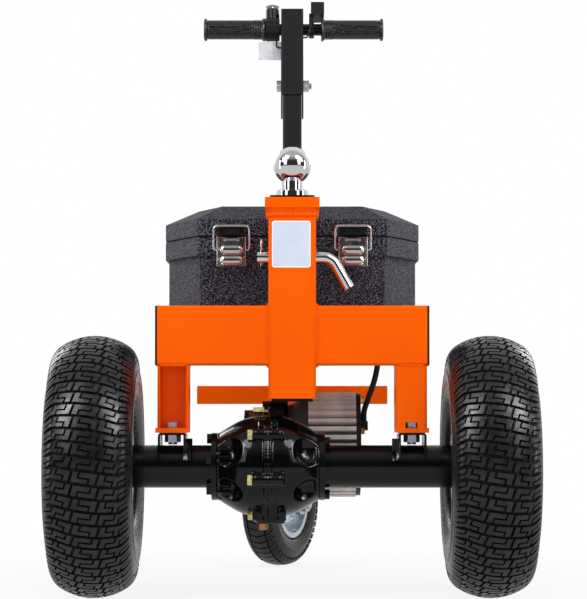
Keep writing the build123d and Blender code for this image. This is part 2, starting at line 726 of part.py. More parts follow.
def diff_cavity():
    """Half of the housing's hollow, turned about the X axis."""
    inner = DIFF_RADIUS - DIFF_WALL
    seat = CARRIER_BEARING_RADIUS
    seat_start = DIFF_HALF_LENGTH - 4.7 - CARRIER_BEARING_WIDTH
    middle = ((DIFF_CROWN_HALF_WIDTH + seat_start) / 2 + 5, (inner + seat) / 2 + 4)
    crown = Line((0, inner), (DIFF_CROWN_HALF_WIDTH, inner))
    globe = ThreePointArc((DIFF_CROWN_HALF_WIDTH, inner), middle, (seat_start, seat))
    tail = Polyline(
        (seat_start, seat), (DIFF_HALF_LENGTH, seat), (DIFF_HALF_LENGTH, 0), (0, 0), (0, inner)
    )
    hollow = revolve(make_face([crown, globe, *tail.edges()]), Axis.X)
    for scoop in scoops(SCOOP_RADIUS + SCOOP_WALL):
        hollow -= scoop
    return hollow + rod_x(CARRIER_BEARING_RADIUS, (seat_start, DIFF_HALF_LENGTH))


def scoops(radius):
    """The round pockets between the housing's globe and its flange, about the X axis."""
    ball = Pos(SCOOP_OFFSET, 0, SCOOP_FLOOR_RADIUS + SCOOP_RADIUS) * Sphere(radius)
    return [Rot(90 - angle, 0, 0) * ball for angle in SCOOP_ANGLES]


def diff_outer():
    """The right half of the housing without its hollow, about the X axis."""
    body = revolve(diff_outline(), Axis.X)
    for scoop in scoops(SCOOP_RADIUS):
        body -= scoop
    body += rod_x(DIFF_RIB_RADIUS, (0, DIFF_RIB_HALF_WIDTH))
    body += rod_x(AXLE_FLANGE_RADIUS, (DIFF_HALF_LENGTH - DIFF_FLANGE_THICKNESS, DIFF_HALF_LENGTH))
    for angle in BOSS_FRONT_ANGLES:
        y, z = boss_place(angle)
        body += rod_x(BOSS_RADIUS, (0, BOSS_HALF_LENGTH), y, z)
    return body


def drain_block(x):
    """The square block under the front of the housing, over the span x."""
    y = (-DRAIN_BLOCK_FRONT, -DRAIN_BLOCK_FRONT + DRAIN_BLOCK_DEPTH)
    shape = block(x, y, (-DRAIN_BLOCK_DROP, -DRAIN_BLOCK_DROP + DRAIN_BLOCK_HEIGHT))
    return fillet(shape.edges().filter_by(Axis.X), 3.0)


def boss_place(angle):
    """Where a clamp screw stands, at this angle above the front of the housing."""
    turn = math.radians(angle)
    return -BOSS_CIRCLE_RADIUS * math.cos(turn), BOSS_CIRCLE_RADIUS * math.sin(turn)


def gear_window():
    """The room that the idler gears need, about the axle, on the gear line."""
    reach = GEAR_MODULE * IDLER_GEAR_TEETH / 2 + GEAR_MODULE + GEAR_ROOM
    left = GEAR_CASE_LEFT_X + GEAR_CASE_LEFT_WALL
    right = GEAR_CASE_RIGHT_X - GEAR_CASE_RIGHT_WALL
    return Rot(GEAR_LINE_TILT, 0, 0) * rod_x(reach, (left, right), IDLER_DISTANCE)


def idler_bosses():
    """The two bearing bosses of the idler shaft, about the axle, on the gear line."""
    left = (GEAR_CASE_LEFT_X, GEAR_CASE_LEFT_X + GEAR_CASE_LEFT_WALL)
    right = (GEAR_CASE_RIGHT_X - GEAR_CASE_RIGHT_WALL, GEAR_CASE_RIGHT_X)
    turn = Rot(GEAR_LINE_TILT, 0, 0)
    return [turn * rod_x(IDLER_BOSS_RADIUS, span, IDLER_DISTANCE) for span in (left, right)]


def differential_housing(parts):
    """The two housing halves, their clamp screws and plugs."""
    hollow = diff_cavity()
    right = diff_outer() + drain_block((0, DRAIN_BLOCK_RIGHT)) - hollow
    left = mirrored(diff_outer() - hollow)
    left += drain_block((-DRAIN_BLOCK_LEFT, 0)) - mirrored(hollow)
    drain_x = DRAIN_PLUG_OFFSET
    drain_y = -DRAIN_BLOCK_FRONT + DRAIN_BLOCK_DEPTH / 2
    drain_z = (-DRAIN_BLOCK_DROP, -DRAIN_BLOCK_DROP + DRAIN_PLUG_DEPTH)
    left -= rod_z(4 + SEAT_GAP, drain_z, drain_x, drain_y)
    vent_z = (DIFF_RADIUS - 2, DIFF_RADIUS + VENT_BLOCK_HEIGHT)
    vent = block((0, VENT_BLOCK_LENGTH), around(0, VENT_BLOCK_DEPTH), vent_z)
    vent_mid_z = DIFF_RADIUS + VENT_BLOCK_HEIGHT / 2
    right += vent
    right -= rod_x(3 + SEAT_GAP, (0, VENT_BLOCK_LENGTH / 2), 0, vent_mid_z)
    screws = []
    for angle in BOSS_FRONT_ANGLES:
        y, z = boss_place(angle)
        hole = rod_x(BOSS_SCREW_RADIUS + SEAT_GAP, (-BOSS_HALF_LENGTH, BOSS_HALF_LENGTH), y, z)
        right -= hole
        left -= hole
        head = (-BOSS_HALF_LENGTH - BOSS_SCREW_HEAD_HEIGHT, -BOSS_HALF_LENGTH)
        left -= rod_x(BOSS_RADIUS - 0.5, (head[0] - 4, head[1]), y, z)
        shank = rod_x(BOSS_SCREW_RADIUS, (-BOSS_HALF_LENGTH, BOSS_HALF_LENGTH), y, z)
        screws.append(hex_x(BOSS_SCREW_ACROSS_FLATS, head, y, z) + shank)
    for opening in (gear_window(), *idler_bosses()):
        right -= Pos(-DIFF_X, 0, 0) * opening
        left -= Pos(-DIFF_X, 0, 0) * opening
    plug = hex_z(2 * DRAIN_PLUG_RADIUS - 1, (drain_z[0] - DRAIN_PLUG_HEIGHT, drain_z[0]), drain_x, drain_y)
    plug += rod_z(4, drain_z, drain_x, drain_y)
    neck = -DIFF_RIB_HALF_WIDTH - SEAT_GAP
    vent_plug = hex_x(VENT_ACROSS_FLATS, (neck - VENT_LENGTH + 5, neck), 0, vent_mid_z)
    vent_plug += rod_x(3, (neck, VENT_BLOCK_LENGTH / 2 - 1), 0, vent_mid_z)
    place = Pos(DIFF_X, 0, AXLE_Z)
    parts["diff_housing_right"] = place * right
    parts["diff_housing_left"] = place * left
    parts["housing_screws"] = [place * shape for shape in (*screws, plug, vent_plug)]


def axle_tubes(parts):
    """Both axle tubes with their flanges, the flange bolts and the hub bearings."""
    bolts = []
    tubes = []
    bearings = []
    for side in (-1, 1):
        flange_face = DIFF_X + side * DIFF_HALF_LENGTH
        end = side * AXLE_TUBE_END_X
        back = flange_face + side * AXLE_FLANGE_THICKNESS
        tube = ring_x(AXLE_TUBE_RADIUS, AXLE_TUBE_BORE_RADIUS, sorted((flange_face, end)))
        tube += ring_x(AXLE_FLANGE_RADIUS, AXLE_TUBE_BORE_RADIUS, sorted((flange_face, back)))
        start = 90 if side < 0 else 90 - FLANGE_BOLT_TURN
        for y, z in bolt_circle(FLANGE_BOLT_COUNT, FLANGE_BOLT_CIRCLE_RADIUS, start):
            hole = sorted((flange_face - side * 1.0, back + side * 1.0))
            tube -= rod_x(FLANGE_BOLT_RADIUS + SEAT_GAP, hole, -y, z)
            head = sorted((back, back + side * FLANGE_BOLT_HEAD_HEIGHT))
            bolt = hex_x(FLANGE_BOLT_ACROSS_FLATS, head, -y, z)
            bolt += rod_x(FLANGE_BOLT_RADIUS, sorted((flange_face, back)), -y, z)
            bolts.append(bolt)
        tubes.append(tube)
        bearing = sorted((end - side * 1.0, end - side * (1.0 + AXLE_BEARING_WIDTH)))
        bearings.append(ring_x(AXLE_TUBE_BORE_RADIUS - 0.02, HALF_SHAFT_RADIUS + RUN_FIT, bearing))
        inner_end = flange_face - side * 4.7
        inner = sorted((inner_end, inner_end - side * CARRIER_BEARING_WIDTH))
        bearings.append(ring_x(CARRIER_BEARING_RADIUS - 0.02, TRUNNION_RADIUS + RUN_FIT, inner))
    place = Pos(0, 0, AXLE_Z)
    parts["axle_tubes"] = [place * tube for tube in tubes]
    parts["flange_bolts"] = [place * bolt for bolt in bolts]
    return [place * bearing for bearing in bearings]


def differential(parts):
    """The differential case with its ring gear and bevel gears, about the axle."""
    ring_span = around(RING_X, RING_GEAR_WIDTH)
    flange = (ring_span[1], ring_span[1] + CARRIER_FLANGE_WIDTH)
    case_end = DIFF_X + DIFF_CASE_END
    reach = DIFF_HALF_LENGTH - 6.0
    case = rod_x(DIFF_CASE_RADIUS, (ring_span[0], case_end))
    case += rod_x(CARRIER_FLANGE_RADIUS, flange)
    case += rod_x(TRUNNION_RADIUS, (DIFF_X - reach, DIFF_X + reach))
    case -= rod_x(HALF_SHAFT_RADIUS + 0.5, (DIFF_X - reach, DIFF_X + reach))
    cavity = around(SPIDER_X, 2 * (SIDE_GEAR_GAP + SIDE_GEAR_WIDTH + MOVE_GAP))
    case -= rod_x(DIFF_CASE_RADIUS - DIFF_CASE_WALL, cavity)
    case -= rod_z(SPIDER_PIN_RADIUS + SEAT_GAP, (-DIFF_CASE_RADIUS, DIFF_CASE_RADIUS), SPIDER_X)
    ring = gear_x(RING_TEETH, 0.0, ring_span) - rod_x(DIFF_CASE_RADIUS + SEAT_GAP, ring_span)
    pin = rod_z(SPIDER_PIN_RADIUS, (-DIFF_CASE_RADIUS, DIFF_CASE_RADIUS), SPIDER_X)
    shapes = [case, ring, pin]
    outer = DIFF_CASE_RADIUS - DIFF_CASE_WALL - 2
    for side in (-1, 1):
        span = sorted((side * outer, side * (outer - SPIDER_GEAR_WIDTH)))
        wheel = rod_z(SPIDER_GEAR_RADIUS, span, SPIDER_X)
        shapes.append(wheel - rod_z(SPIDER_PIN_RADIUS + SEAT_GAP, span, SPIDER_X))
    parts["diff_carrier"] = [GEAR_FRAME * shape for shape in shapes]


def reduction_gears(parts):
    """The idler gear and the motor's rotor with its pinion, on the gear line."""
    left = GEAR_CASE_LEFT_X + GEAR_CASE_LEFT_WALL - IDLER_BEARING_WIDTH
    right = GEAR_CASE_RIGHT_X
    pinion = around(RING_X, RING_GEAR_WIDTH + 2 * PINION_OVERHANG)
    wheel = around(IDLER_GEAR_X, IDLER_GEAR_WIDTH)
    idler = rod_x(IDLER_SHAFT_RADIUS, (left, right), IDLER_DISTANCE)
    idler += rod_x(IDLER_SHAFT_RADIUS + 3, (pinion[1], wheel[0]), IDLER_DISTANCE)
    phase = meshing_phase(IDLER_PINION_TEETH)
    idler += gear_x(IDLER_PINION_TEETH, phase, pinion, IDLER_DISTANCE)
    idler += gear_x(IDLER_GEAR_TEETH, 0.0, wheel, IDLER_DISTANCE)
    parts["idler_gear"] = GEAR_FRAME * idler

    motor_end = MOTOR_BODY_END_X
    core = (MOTOR_BODY_START_X + ROTOR_CORE_MARGIN, motor_end - 2 * ROTOR_CORE_MARGIN)
    small = around(IDLER_GEAR_X, IDLER_GEAR_WIDTH)
    rotor = rod_x(MOTOR_SHAFT_RADIUS, (small[0], motor_end + 1.5), MOTOR_DISTANCE)
    phase = meshing_phase(MOTOR_PINION_TEETH)
    rotor += gear_x(MOTOR_PINION_TEETH, phase, small, MOTOR_DISTANCE)
    rotor += rod_x(ROTOR_RADIUS, core, MOTOR_DISTANCE)
    windings = (core[0] - 5, core[1] + 3)
    rotor += rod_x(ROTOR_RADIUS - 8, windings, MOTOR_DISTANCE)
    commutator = (windings[1], windings[1] + COMMUTATOR_LENGTH)
    rotor += rod_x(COMMUTATOR_RADIUS, commutator, MOTOR_DISTANCE)
    parts["motor_rotor"] = GEAR_FRAME * rotor


def gear_case(parts):
    """The casting between the differential housing and the motor, and its bearings."""
    span = (GEAR_CASE_LEFT_X, GEAR_CASE_RIGHT_X)
    radius = GEAR_CASE_RADIUS
    body = rod_x(radius, span, IDLER_DISTANCE) + rod_x(radius, span, MOTOR_DISTANCE)
    middle = (IDLER_DISTANCE + MOTOR_DISTANCE) / 2
    body += block(span, around(middle, MOTOR_DISTANCE - IDLER_DISTANCE), (-radius, radius))
    flange_span = (span[1] - GEAR_CASE_FLANGE_WIDTH, span[1])
    body += rod_x(GEAR_CASE_FLANGE_RADIUS, flange_span, MOTOR_DISTANCE)
    body = Rot(GEAR_LINE_TILT, 0, 0) * body
    outer = diff_outer()
    globe = Pos(DIFF_X, 0, 0) * (outer + mirrored(outer))
    for boss in idler_bosses():
        globe -= boss
    body -= globe
    left = span[0] + GEAR_CASE_LEFT_WALL
    right = span[1] - GEAR_CASE_RIGHT_WALL
    pinion_room = GEAR_MODULE * MOTOR_PINION_TEETH / 2 + GEAR_MODULE + GEAR_ROOM
    holes = rod_x(pinion_room, (left, right), MOTOR_DISTANCE)
    holes += rod_x(IDLER_BEARING_RADIUS, (left - IDLER_BEARING_WIDTH, span[1]), IDLER_DISTANCE)
    holes += rod_x(MOTOR_SHAFT_RADIUS + 2, (right, span[1]), MOTOR_DISTANCE)
    body -= gear_window()
    body -= Rot(GEAR_LINE_TILT, 0, 0) * holes
    solids = sorted(body.solids(), key=lambda solid: solid.volume)
    parts["gear_case"] = Pos(0, 0, AXLE_Z) * solids[-1]
    inner = IDLER_SHAFT_RADIUS + RUN_FIT
    outer_radius = IDLER_BEARING_RADIUS - 0.02
    seats = [(left - IDLER_BEARING_WIDTH, left), (span[1] - IDLER_BEARING_WIDTH, span[1])]
    return [GEAR_FRAME * ring_x(outer_radius, inner, seat, IDLER_DISTANCE) for seat in seats]


def fin_outline():
    """The motor body's finned outline, about the origin."""
    points = []
    share = FIN_SHARE / 2
    for fin in range(FIN_COUNT):
        places = ((-0.5, MOTOR_CORE_RADIUS), (-share, MOTOR_CORE_RADIUS),
                  (-share * 0.8, MOTOR_RADIUS), (share * 0.8, MOTOR_RADIUS),
                  (share, MOTOR_CORE_RADIUS))
        for offset, radius in places:
            angle = 2 * math.pi * (fin + offset) / FIN_COUNT
            points.append((radius * math.cos(angle), radius * math.sin(angle)))
    return points


def motor(parts):
    """The motor's front bell, finned body with magnets, end plate and screws."""
    start = GEAR_CASE_RIGHT_X
    face = start + BELL_WALL
    bell_points = [
        (start, MOTOR_SHAFT_RADIUS + 3), (start, BELL_FRONT_RADIUS), (face - 4, BELL_FRONT_RADIUS + 3),
        (face + 4, MOTOR_CORE_RADIUS - 3), (MOTOR_BODY_START_X, MOTOR_CORE_RADIUS + 1),
        (MOTOR_BODY_START_X, MOTOR_BORE_RADIUS), (face + 4, MOTOR_BORE_RADIUS - 4),
        (face, BELL_FRONT_RADIUS - 6), (face, MOTOR_SHAFT_RADIUS + 3),
    ]
    bell = turned_x(bell_points)
    front_bearing = (start, start + MOTOR_BEARING_WIDTH)
    bell -= rod_x(MOTOR_BEARING_RADIUS, front_bearing)
    body_span = (MOTOR_BODY_START_X, MOTOR_BODY_END_X)
    outline = Plane.YZ.offset(body_span[0]) * make_face(Polyline(*fin_outline(), close=True))
    body = extrude(outline, amount=MOTOR_BODY_LENGTH) - rod_x(MOTOR_BORE_RADIUS, body_span)
    screw_circle = (MOTOR_CORE_RADIUS + MOTOR_BORE_RADIUS) / 2
    end_face = MOTOR_BODY_END_X + MOTOR_END_THICKNESS
    plate = rod_x(MOTOR_END_RADIUS, (MOTOR_BODY_END_X, end_face))
    rear_bearing = (MOTOR_BODY_END_X - 6.0, MOTOR_BODY_END_X - 6.0 + 8.0)
    plate += rod_x(MOTOR_BEARING_RADIUS + 5, (rear_bearing[0], MOTOR_BODY_END_X))
    plate -= rod_x(MOTOR_BEARING_RADIUS, rear_bearing)
    screws = []
    for y, z in bolt_circle(MOTOR_SCREW_COUNT, screw_circle, 90):
        hole = (MOTOR_BODY_END_X - MOTOR_SCREW_DEPTH, end_face)
        plate -= rod_x(MOTOR_SCREW_RADIUS + SEAT_GAP, hole, y, z)
        body -= rod_x(MOTOR_SCREW_RADIUS + SEAT_GAP, hole, y, z)
        head = (end_face, end_face + MOTOR_SCREW_HEAD_HEIGHT)
        screws.append(hex_x(MOTOR_SCREW_ACROSS_FLATS, head, y, z)
                      + rod_x(MOTOR_SCREW_RADIUS, hole, y, z))
    terminal = block((end_face, end_face + TERMINAL_DEPTH), around(0, TERMINAL_WIDTH),
                     around(TERMINAL_RISE, TERMINAL_HEIGHT))
    plate += terminal
    magnet_span = (body_span[0] + MAGNET_MARGIN, body_span[1] - 2 * MAGNET_MARGIN)
    shell = ring_x(MOTOR_BORE_RADIUS - 0.02, MOTOR_BORE_RADIUS - MAGNET_THICKNESS, magnet_span)
    magnets = []
    gap = math.radians((360.0 / MAGNET_COUNT - MAGNET_SWEEP) / 2)
    for step in range(MAGNET_COUNT):
        reach = 2 * MOTOR_BORE_RADIUS
        rise = math.tan(math.pi / MAGNET_COUNT - gap) * reach
        wedge = Plane.YZ.offset(magnet_span[0]) * make_face(
            Polyline((0, 0), (reach, -rise), (reach, rise), close=True))
        sector = extrude(wedge, amount=magnet_span[1] - magnet_span[0])
        magnets.append(shell & (Rot(360.0 * step / MAGNET_COUNT + 45, 0, 0) * sector))
    place = Pos(0, MOTOR_Y, MOTOR_Z)
    parts["motor_bell"] = place * bell
    parts["motor_body"] = [place * shape for shape in (body, *magnets)]
    parts["motor_end_plate"] = place * plate
    parts["housing_screws"] += [place * screw for screw in screws]
    bearings = [ring_x(MOTOR_BEARING_RADIUS - 0.02, MOTOR_SHAFT_RADIUS + RUN_FIT, seat)
                for seat in (front_bearing, rear_bearing)]
    return [place * bearing for bearing in bearings]


def saddle():
    """The right axle saddle: a folded plate open below, cut round the axle tube."""
    x = around(SADDLE_X, SADDLE_WIDTH)
    y = around(0, SADDLE_DEPTH)
    z = (AXLE_Z + SADDLE_SKIRT, SADDLE_TOP_Z)
    shape = block(x, y, z)
    hollow_x = (x[0] + SADDLE_PLATE, x[1] - SADDLE_PLATE)
    shape -= block(hollow_x, (y[0] - 1, y[1] + 1), (z[0] - 1, z[1] - SADDLE_PLATE))
    lug_x = (x[0] - SADDLE_LUG_WIDTH, x[0])
    lug_y = (y[0], y[0] + SADDLE_LUG_THICKNESS)
    shape += block(lug_x, lug_y, (z[0] - 2, z[0] - 2 + SADDLE_LUG_HEIGHT))
    shape -= rod_x(AXLE_TUBE_RADIUS + SEAT_GAP, (x[0] - 20, x[1] + 20), 0, AXLE_Z)
    shape -= rod_z(FRAME_BOLT_RADIUS + SEAT_GAP, (z[1] - 10, z[1] + 1), SADDLE_X)
    return shape


def legs_and_saddles(parts):
    """Both legs with their foot plates, the saddles and the bolts that join them."""
    leg_x = around(SADDLE_X - 1.5, LEG_WIDTH)
    plate_x = around(SADDLE_X, FOOT_PLATE_WIDTH)
    leg_y = around(0, LEG_DEPTH)
    plate = block(plate_x, around(0, LEG_DEPTH + 4), (SADDLE_TOP_Z, FOOT_TOP_Z))
    plate -= rod_z(FRAME_BOLT_RADIUS + SEAT_GAP, (SADDLE_TOP_Z, FOOT_TOP_Z), SADDLE_X)
    section = RectangleRounded(LEG_WIDTH, LEG_DEPTH, LEG_CORNER)
    hollow = RectangleRounded(LEG_WIDTH - 2 * LEG_WALL, LEG_DEPTH - 2 * LEG_WALL, 1.0)
    tube = Pos(SADDLE_X - 1.5, 0, FOOT_TOP_Z) * extrude(section - hollow, amount=LEG_LENGTH)
    slot = block(around(SADDLE_X - 1.5, LEG_SLOT_WIDTH), (leg_y[0] - 1, leg_y[0] + LEG_WALL + 1),
                 (FOOT_TOP_Z, FOOT_TOP_Z + LEG_SLOT_HEIGHT))
    parts["leg_right"] = tube + plate - slot
    front = block((leg_x[0] + LEG_WALL, leg_x[1] - LEG_WALL), (leg_y[0] - 1, leg_y[0] + LEG_WALL + 1),
                  (FOOT_TOP_Z, BEAM_BOTTOM_Z))
    parts["leg_left"] = mirrored(tube + plate - front)
    right = saddle()
    parts["axle_saddles"] = [right, mirrored(right)]
    tail_z = SADDLE_TOP_Z - SADDLE_PLATE - FRAME_NUT_HEIGHT - FRAME_BOLT_TAIL
    head_z = (FOOT_TOP_Z, FOOT_TOP_Z + FRAME_BOLT_HEAD_HEIGHT)
    nut_z = (SADDLE_TOP_Z - SADDLE_PLATE - FRAME_NUT_HEIGHT, SADDLE_TOP_Z - SADDLE_PLATE)
    shapes = []
    for side in (-1, 1):
        x = side * SADDLE_X
        bolt = hex_z(FRAME_BOLT_ACROSS_FLATS, head_z, x)
        shapes.append(bolt + rod_z(FRAME_BOLT_RADIUS, (tail_z, FOOT_TOP_Z), x))
        nut = hex_z(FRAME_BOLT_ACROSS_FLATS, nut_z, x)
        shapes.append(nut - rod_z(FRAME_BOLT_RADIUS + SEAT_GAP, nut_z, x))
    parts["saddle_bolts"] = shapes


def beam(parts):
    """The two beam arms welded to the post and their end caps."""
    span = (POST_SIZE / 2, BEAM_HALF_LENGTH)
    middle_z = BEAM_BOTTOM_Z + BEAM_HEIGHT / 2
    arm = tube_x(BEAM_DEPTH, BEAM_HEIGHT, BEAM_WALL, BEAM_CORNER, span, 0, middle_z)
    face = Plane.YZ.offset(BEAM_HALF_LENGTH) * RectangleRounded(BEAM_DEPTH, BEAM_HEIGHT, BEAM_CORNER)
    cap = extrude(face, amount=END_CAP_THICKNESS)
    plug_size = (BEAM_DEPTH - 2 * BEAM_WALL - 2 * SEAT_GAP, BEAM_HEIGHT - 2 * BEAM_WALL - 2 * SEAT_GAP)
    plug = Plane.YZ.offset(BEAM_HALF_LENGTH) * RectangleRounded(*plug_size, BEAM_CORNER - BEAM_WALL)
    cap += extrude(plug, amount=-END_CAP_PLUG_DEPTH)
    cap = Pos(0, 0, middle_z) * cap
    parts["beam_arms"] = [arm, mirrored(arm)]
    parts["beam_end_caps"] = [cap, mirrored(cap)]


def receiver(parts):
    """The upright post, its collar, the sliding inner tube and the bent pin."""
    pin_hole = rod_x(PIN_RADIUS + 0.1, (-POST_SIZE, POST_SIZE), 0, PIN_Z)
    post_z = (POST_BOTTOM_Z, POST_TOP_Z)
    post = square_tube_z(POST_SIZE, POST_WALL, POST_CORNER, post_z) - pin_hole
    parts["receiver_post"] = post
    collar_z = (POST_TOP_Z - COLLAR_HEIGHT, POST_TOP_Z)
    outline = RectangleRounded(COLLAR_SIZE, COLLAR_SIZE, COLLAR_CORNER)
    outline -= RectangleRounded(POST_SIZE, POST_SIZE, POST_CORNER)
    collar = Pos(0, 0, collar_z[0]) * extrude(outline, amount=COLLAR_HEIGHT)
    pad_low = collar_z[0] - COLLAR_PAD_HEIGHT
    pad_points = [(POST_SIZE / 2, collar_z[0]), (COLLAR_SIZE / 2, collar_z[0]),
                  (POST_SIZE / 2 + 2, pad_low), (POST_SIZE / 2, pad_low)]
    pad = Plane.XZ.offset(-COLLAR_PAD_DEPTH / 2) * make_face(Polyline(*pad_points, close=True))
    pad = extrude(pad, amount=COLLAR_PAD_DEPTH)
    parts["post_collar"] = collar + pad + mirrored(pad)
    inner_bottom = INNER_TOP_Z - INNER_LENGTH
    inner = square_tube_z(INNER_SIZE, INNER_WALL, POST_CORNER - 1.5, (inner_bottom, INNER_TOP_Z))
    for step in range(PIN_HOLE_COUNT):
        hole_z = PIN_Z - step * PIN_HOLE_PITCH
        inner -= rod_x(PIN_RADIUS + 0.1, (-POST_SIZE, POST_SIZE), 0, hole_z)
    plate = RectangleRounded(BALL_PLATE_SIZE, BALL_PLATE_SIZE, POST_CORNER)
    inner += Pos(0, 0, INNER_TOP_Z) * extrude(plate, amount=BALL_PLATE_THICKNESS)
    thick = RectangleRounded(INNER_SIZE, INNER_SIZE, POST_CORNER - 1.5)
    inner += Pos(0, 0, INNER_TOP_Z - 6) * extrude(thick, amount=6)
    inner -= rod_z(BALL_SHANK_RADIUS + SEAT_GAP, (INNER_TOP_Z - 7, BALL_SEAT_Z + 1))
    parts["inner_tube"] = inner
    parts["hitch_ball"] = tow_ball()
    parts["hitch_pin"] = hitch_pin()


def tow_ball():
    """The tow ball with its neck and shank, and the nut under the plate."""
    centre_z = BALL_SEAT_Z + BALL_CENTRE_RISE
    radius = BALL_DIAMETER / 2
    ball = Pos(0, 0, centre_z) * Sphere(radius)
    neck_top = centre_z - math.sqrt(radius**2 - BALL_NECK_RADIUS**2) + 2
    ball += rod_z(BALL_NECK_RADIUS, (BALL_SEAT_Z, neck_top))
    flange = rod_z(BALL_FLANGE_RADIUS, (BALL_SEAT_Z, BALL_SEAT_Z + BALL_FLANGE_HEIGHT))
    ball += chamfer(flange.edges().group_by(Axis.Z)[-1], 2.0)
    plate_bottom = INNER_TOP_Z - 6
    ball += rod_z(BALL_SHANK_RADIUS, (plate_bottom - BALL_SHANK_LENGTH, BALL_SEAT_Z))
    nut_z = (plate_bottom - BALL_NUT_HEIGHT, plate_bottom)
    nut = hex_z(BALL_NUT_ACROSS_FLATS, nut_z) - rod_z(BALL_SHANK_RADIUS + SEAT_GAP, nut_z)
    return [ball, nut]


def hitch_pin():
    """The bent pin, drilled for its clip, and the clip with its ring."""
    drop = PIN_TAIL_DROP
    tail_x = PIN_BEND_X + drop / math.tan(math.radians(PIN_BEND_ANGLE))
    points = [(-PIN_LEFT_REACH, 0, PIN_Z), (PIN_BEND_X, 0, PIN_Z), (tail_x, 0, PIN_Z - drop)]
    path = FilletPolyline(*points, radius=PIN_BEND_RADIUS)
    pin = sweep(Plane(path @ 0, z_dir=path % 0) * Circle(PIN_RADIUS), path=path)
    clip_x = -PIN_LEFT_REACH + CLIP_INSET
    leg_z = (PIN_Z - CLIP_LEG_BELOW, PIN_Z + CLIP_LEG_ABOVE)
    pin -= rod_z(CLIP_WIRE_RADIUS + SEAT_GAP, leg_z, clip_x)
    clip = rod_z(CLIP_WIRE_RADIUS, leg_z, clip_x)
    ring_z = leg_z[1] + CLIP_RING_RADIUS - 0.2
    clip += Pos(clip_x, 0, ring_z) * Rot(0, 90, 0) * Torus(CLIP_RING_RADIUS, CLIP_WIRE_RADIUS)
    return [pin, clip]


def rear_frame(parts):
    """Box rails, the handle seat, the caster post and the low cross bar."""
    rear_y = CASTER_Y + CASTER_POST_DEPTH / 2
    rail_y = (BEAM_DEPTH / 2, rear_y)
    rail = block(around(RAIL_X, RAIL_WIDTH), rail_y, (RAIL_BOTTOM_Z, RAIL_TOP_Z))
    rail -= block(around(RAIL_X, RAIL_WIDTH - 2 * RAIL_WALL), (rail_y[0], rail_y[1] - RAIL_WALL),
                  (RAIL_BOTTOM_Z + RAIL_WALL, RAIL_TOP_Z - RAIL_WALL))
    seat_y = around(handle_foot_y(), HANDLE_SEAT_DEPTH)
    seat = block(around(0, CASTER_POST_WIDTH), seat_y, (RAIL_BOTTOM_Z, RAIL_TOP_Z))
    parts["rear_frame"] = [rail, mirrored(rail), seat]
    post_y = around(CASTER_Y, CASTER_POST_DEPTH)
    post = block(around(0, CASTER_POST_WIDTH), post_y, (CASTER_PLATE_Z, RAIL_TOP_Z))
    wall = CASTER_POST_WALL
    hollow_y = (post_y[0] + wall, post_y[1] - wall)
    hollow_z = (CASTER_PLATE_Z + CASTER_PLATE_THICKNESS, RAIL_TOP_Z - wall)
    post -= block(around(0, CASTER_POST_WIDTH - 2 * wall), hollow_y, hollow_z)
    post -= rod_z(KINGPIN_RADIUS + RUN_FIT, (CASTER_PLATE_Z, hollow_z[0]), 0, CASTER_Y)
    parts["caster_post"] = post
    bar_z = (CROSS_BAR_BOTTOM, CROSS_BAR_BOTTOM + CROSS_BAR_HEIGHT)
    bar_y = (post_y[0] - CROSS_BAR_DEPTH, post_y[0])
    bar = block(around(0, CROSS_BAR_LENGTH), bar_y, bar_z)
    bar = fillet(bar.edges().filter_by(Axis.X), 2.5)
    inner_y = (bar_y[0] + CROSS_BAR_WALL, bar_y[1] - CROSS_BAR_WALL)
    inner_z = (bar_z[0] + CROSS_BAR_WALL, bar_z[1] - CROSS_BAR_WALL)
    bar -= block(around(0, CROSS_BAR_LENGTH - 2 * CROSS_BAR_WALL), inner_y, inner_z)
    parts["rear_frame"].append(bar)


def handle_foot_y():
    """Where the leaning handle tube meets the top of the rails."""
    rise = HANDLE_PIVOT_Z - RAIL_TOP_Z - HANDLE_BASE_THICKNESS
    return HANDLE_PIVOT_Y - rise * math.tan(math.radians(HANDLE_LEAN))


def annular_section(half, radius, shoulder, wall, bead, bead_radius):
    """The closed section of a small tyre, as (x, radius)."""
    waist = (radius + bead_radius) / 2
    lip = bead_radius + CASTER_RIM_LIP + 1
    outer = FilletPolyline(
        (bead, bead_radius), (bead, lip), (half, waist), (half, radius), (-half, radius),
        (-half, waist), (-bead, lip), (-bead, bead_radius), radius=[2, 8, shoulder, shoulder, 8, 2],
    )
    toe = bead - wall
    inner_half = half - wall
    inner = FilletPolyline(
        (-toe, bead_radius), (-inner_half, waist), (-inner_half, radius - wall),
        (inner_half, radius - wall), (inner_half, waist), (toe, bead_radius),
        radius=[5, shoulder - wall, shoulder - wall, 5],
    )
    sides = [Line((toe, bead_radius), (bead, bead_radius)),
             Line((-bead, bead_radius), (-toe, bead_radius))]
    return make_face([*outer.edges(), *inner.edges(), *sides])


def caster_wheel(parts):
    """The caster's tyre and rim, turned with the fork."""
    place = CASTER_FRAME * Pos(0, -CASTER_TRAIL, CASTER_RADIUS)
    seat = CASTER_RIM_RADIUS
    face = annular_section(CASTER_WIDTH / 2, CASTER_RADIUS, CASTER_SHOULDER, CASTER_TYRE_WALL,
                           CASTER_RIM_WIDTH / 2, seat + SEAT_GAP)
    parts["caster_tyre"] = place * revolve(face, Axis.X)
    half = CASTER_RIM_WIDTH / 2 + SEAT_GAP
    thick = CASTER_RIM_THICKNESS
    rim = ring_x(seat, seat - thick, (-half - thick, half + thick))
    for side in (-1, 1):
        rim += ring_x(seat + CASTER_RIM_LIP, seat - thick, sorted((side * half, side * (half + thick))))
    rim += rod_x(seat - thick + 0.5, around(0, 5))
    rim += rod_x(CASTER_HUB_RADIUS, around(0, CASTER_HUB_WIDTH))
    rim -= rod_x(CASTER_AXLE_RADIUS + RUN_FIT, around(0, CASTER_HUB_WIDTH))
    parts["caster_rim"] = place * rim


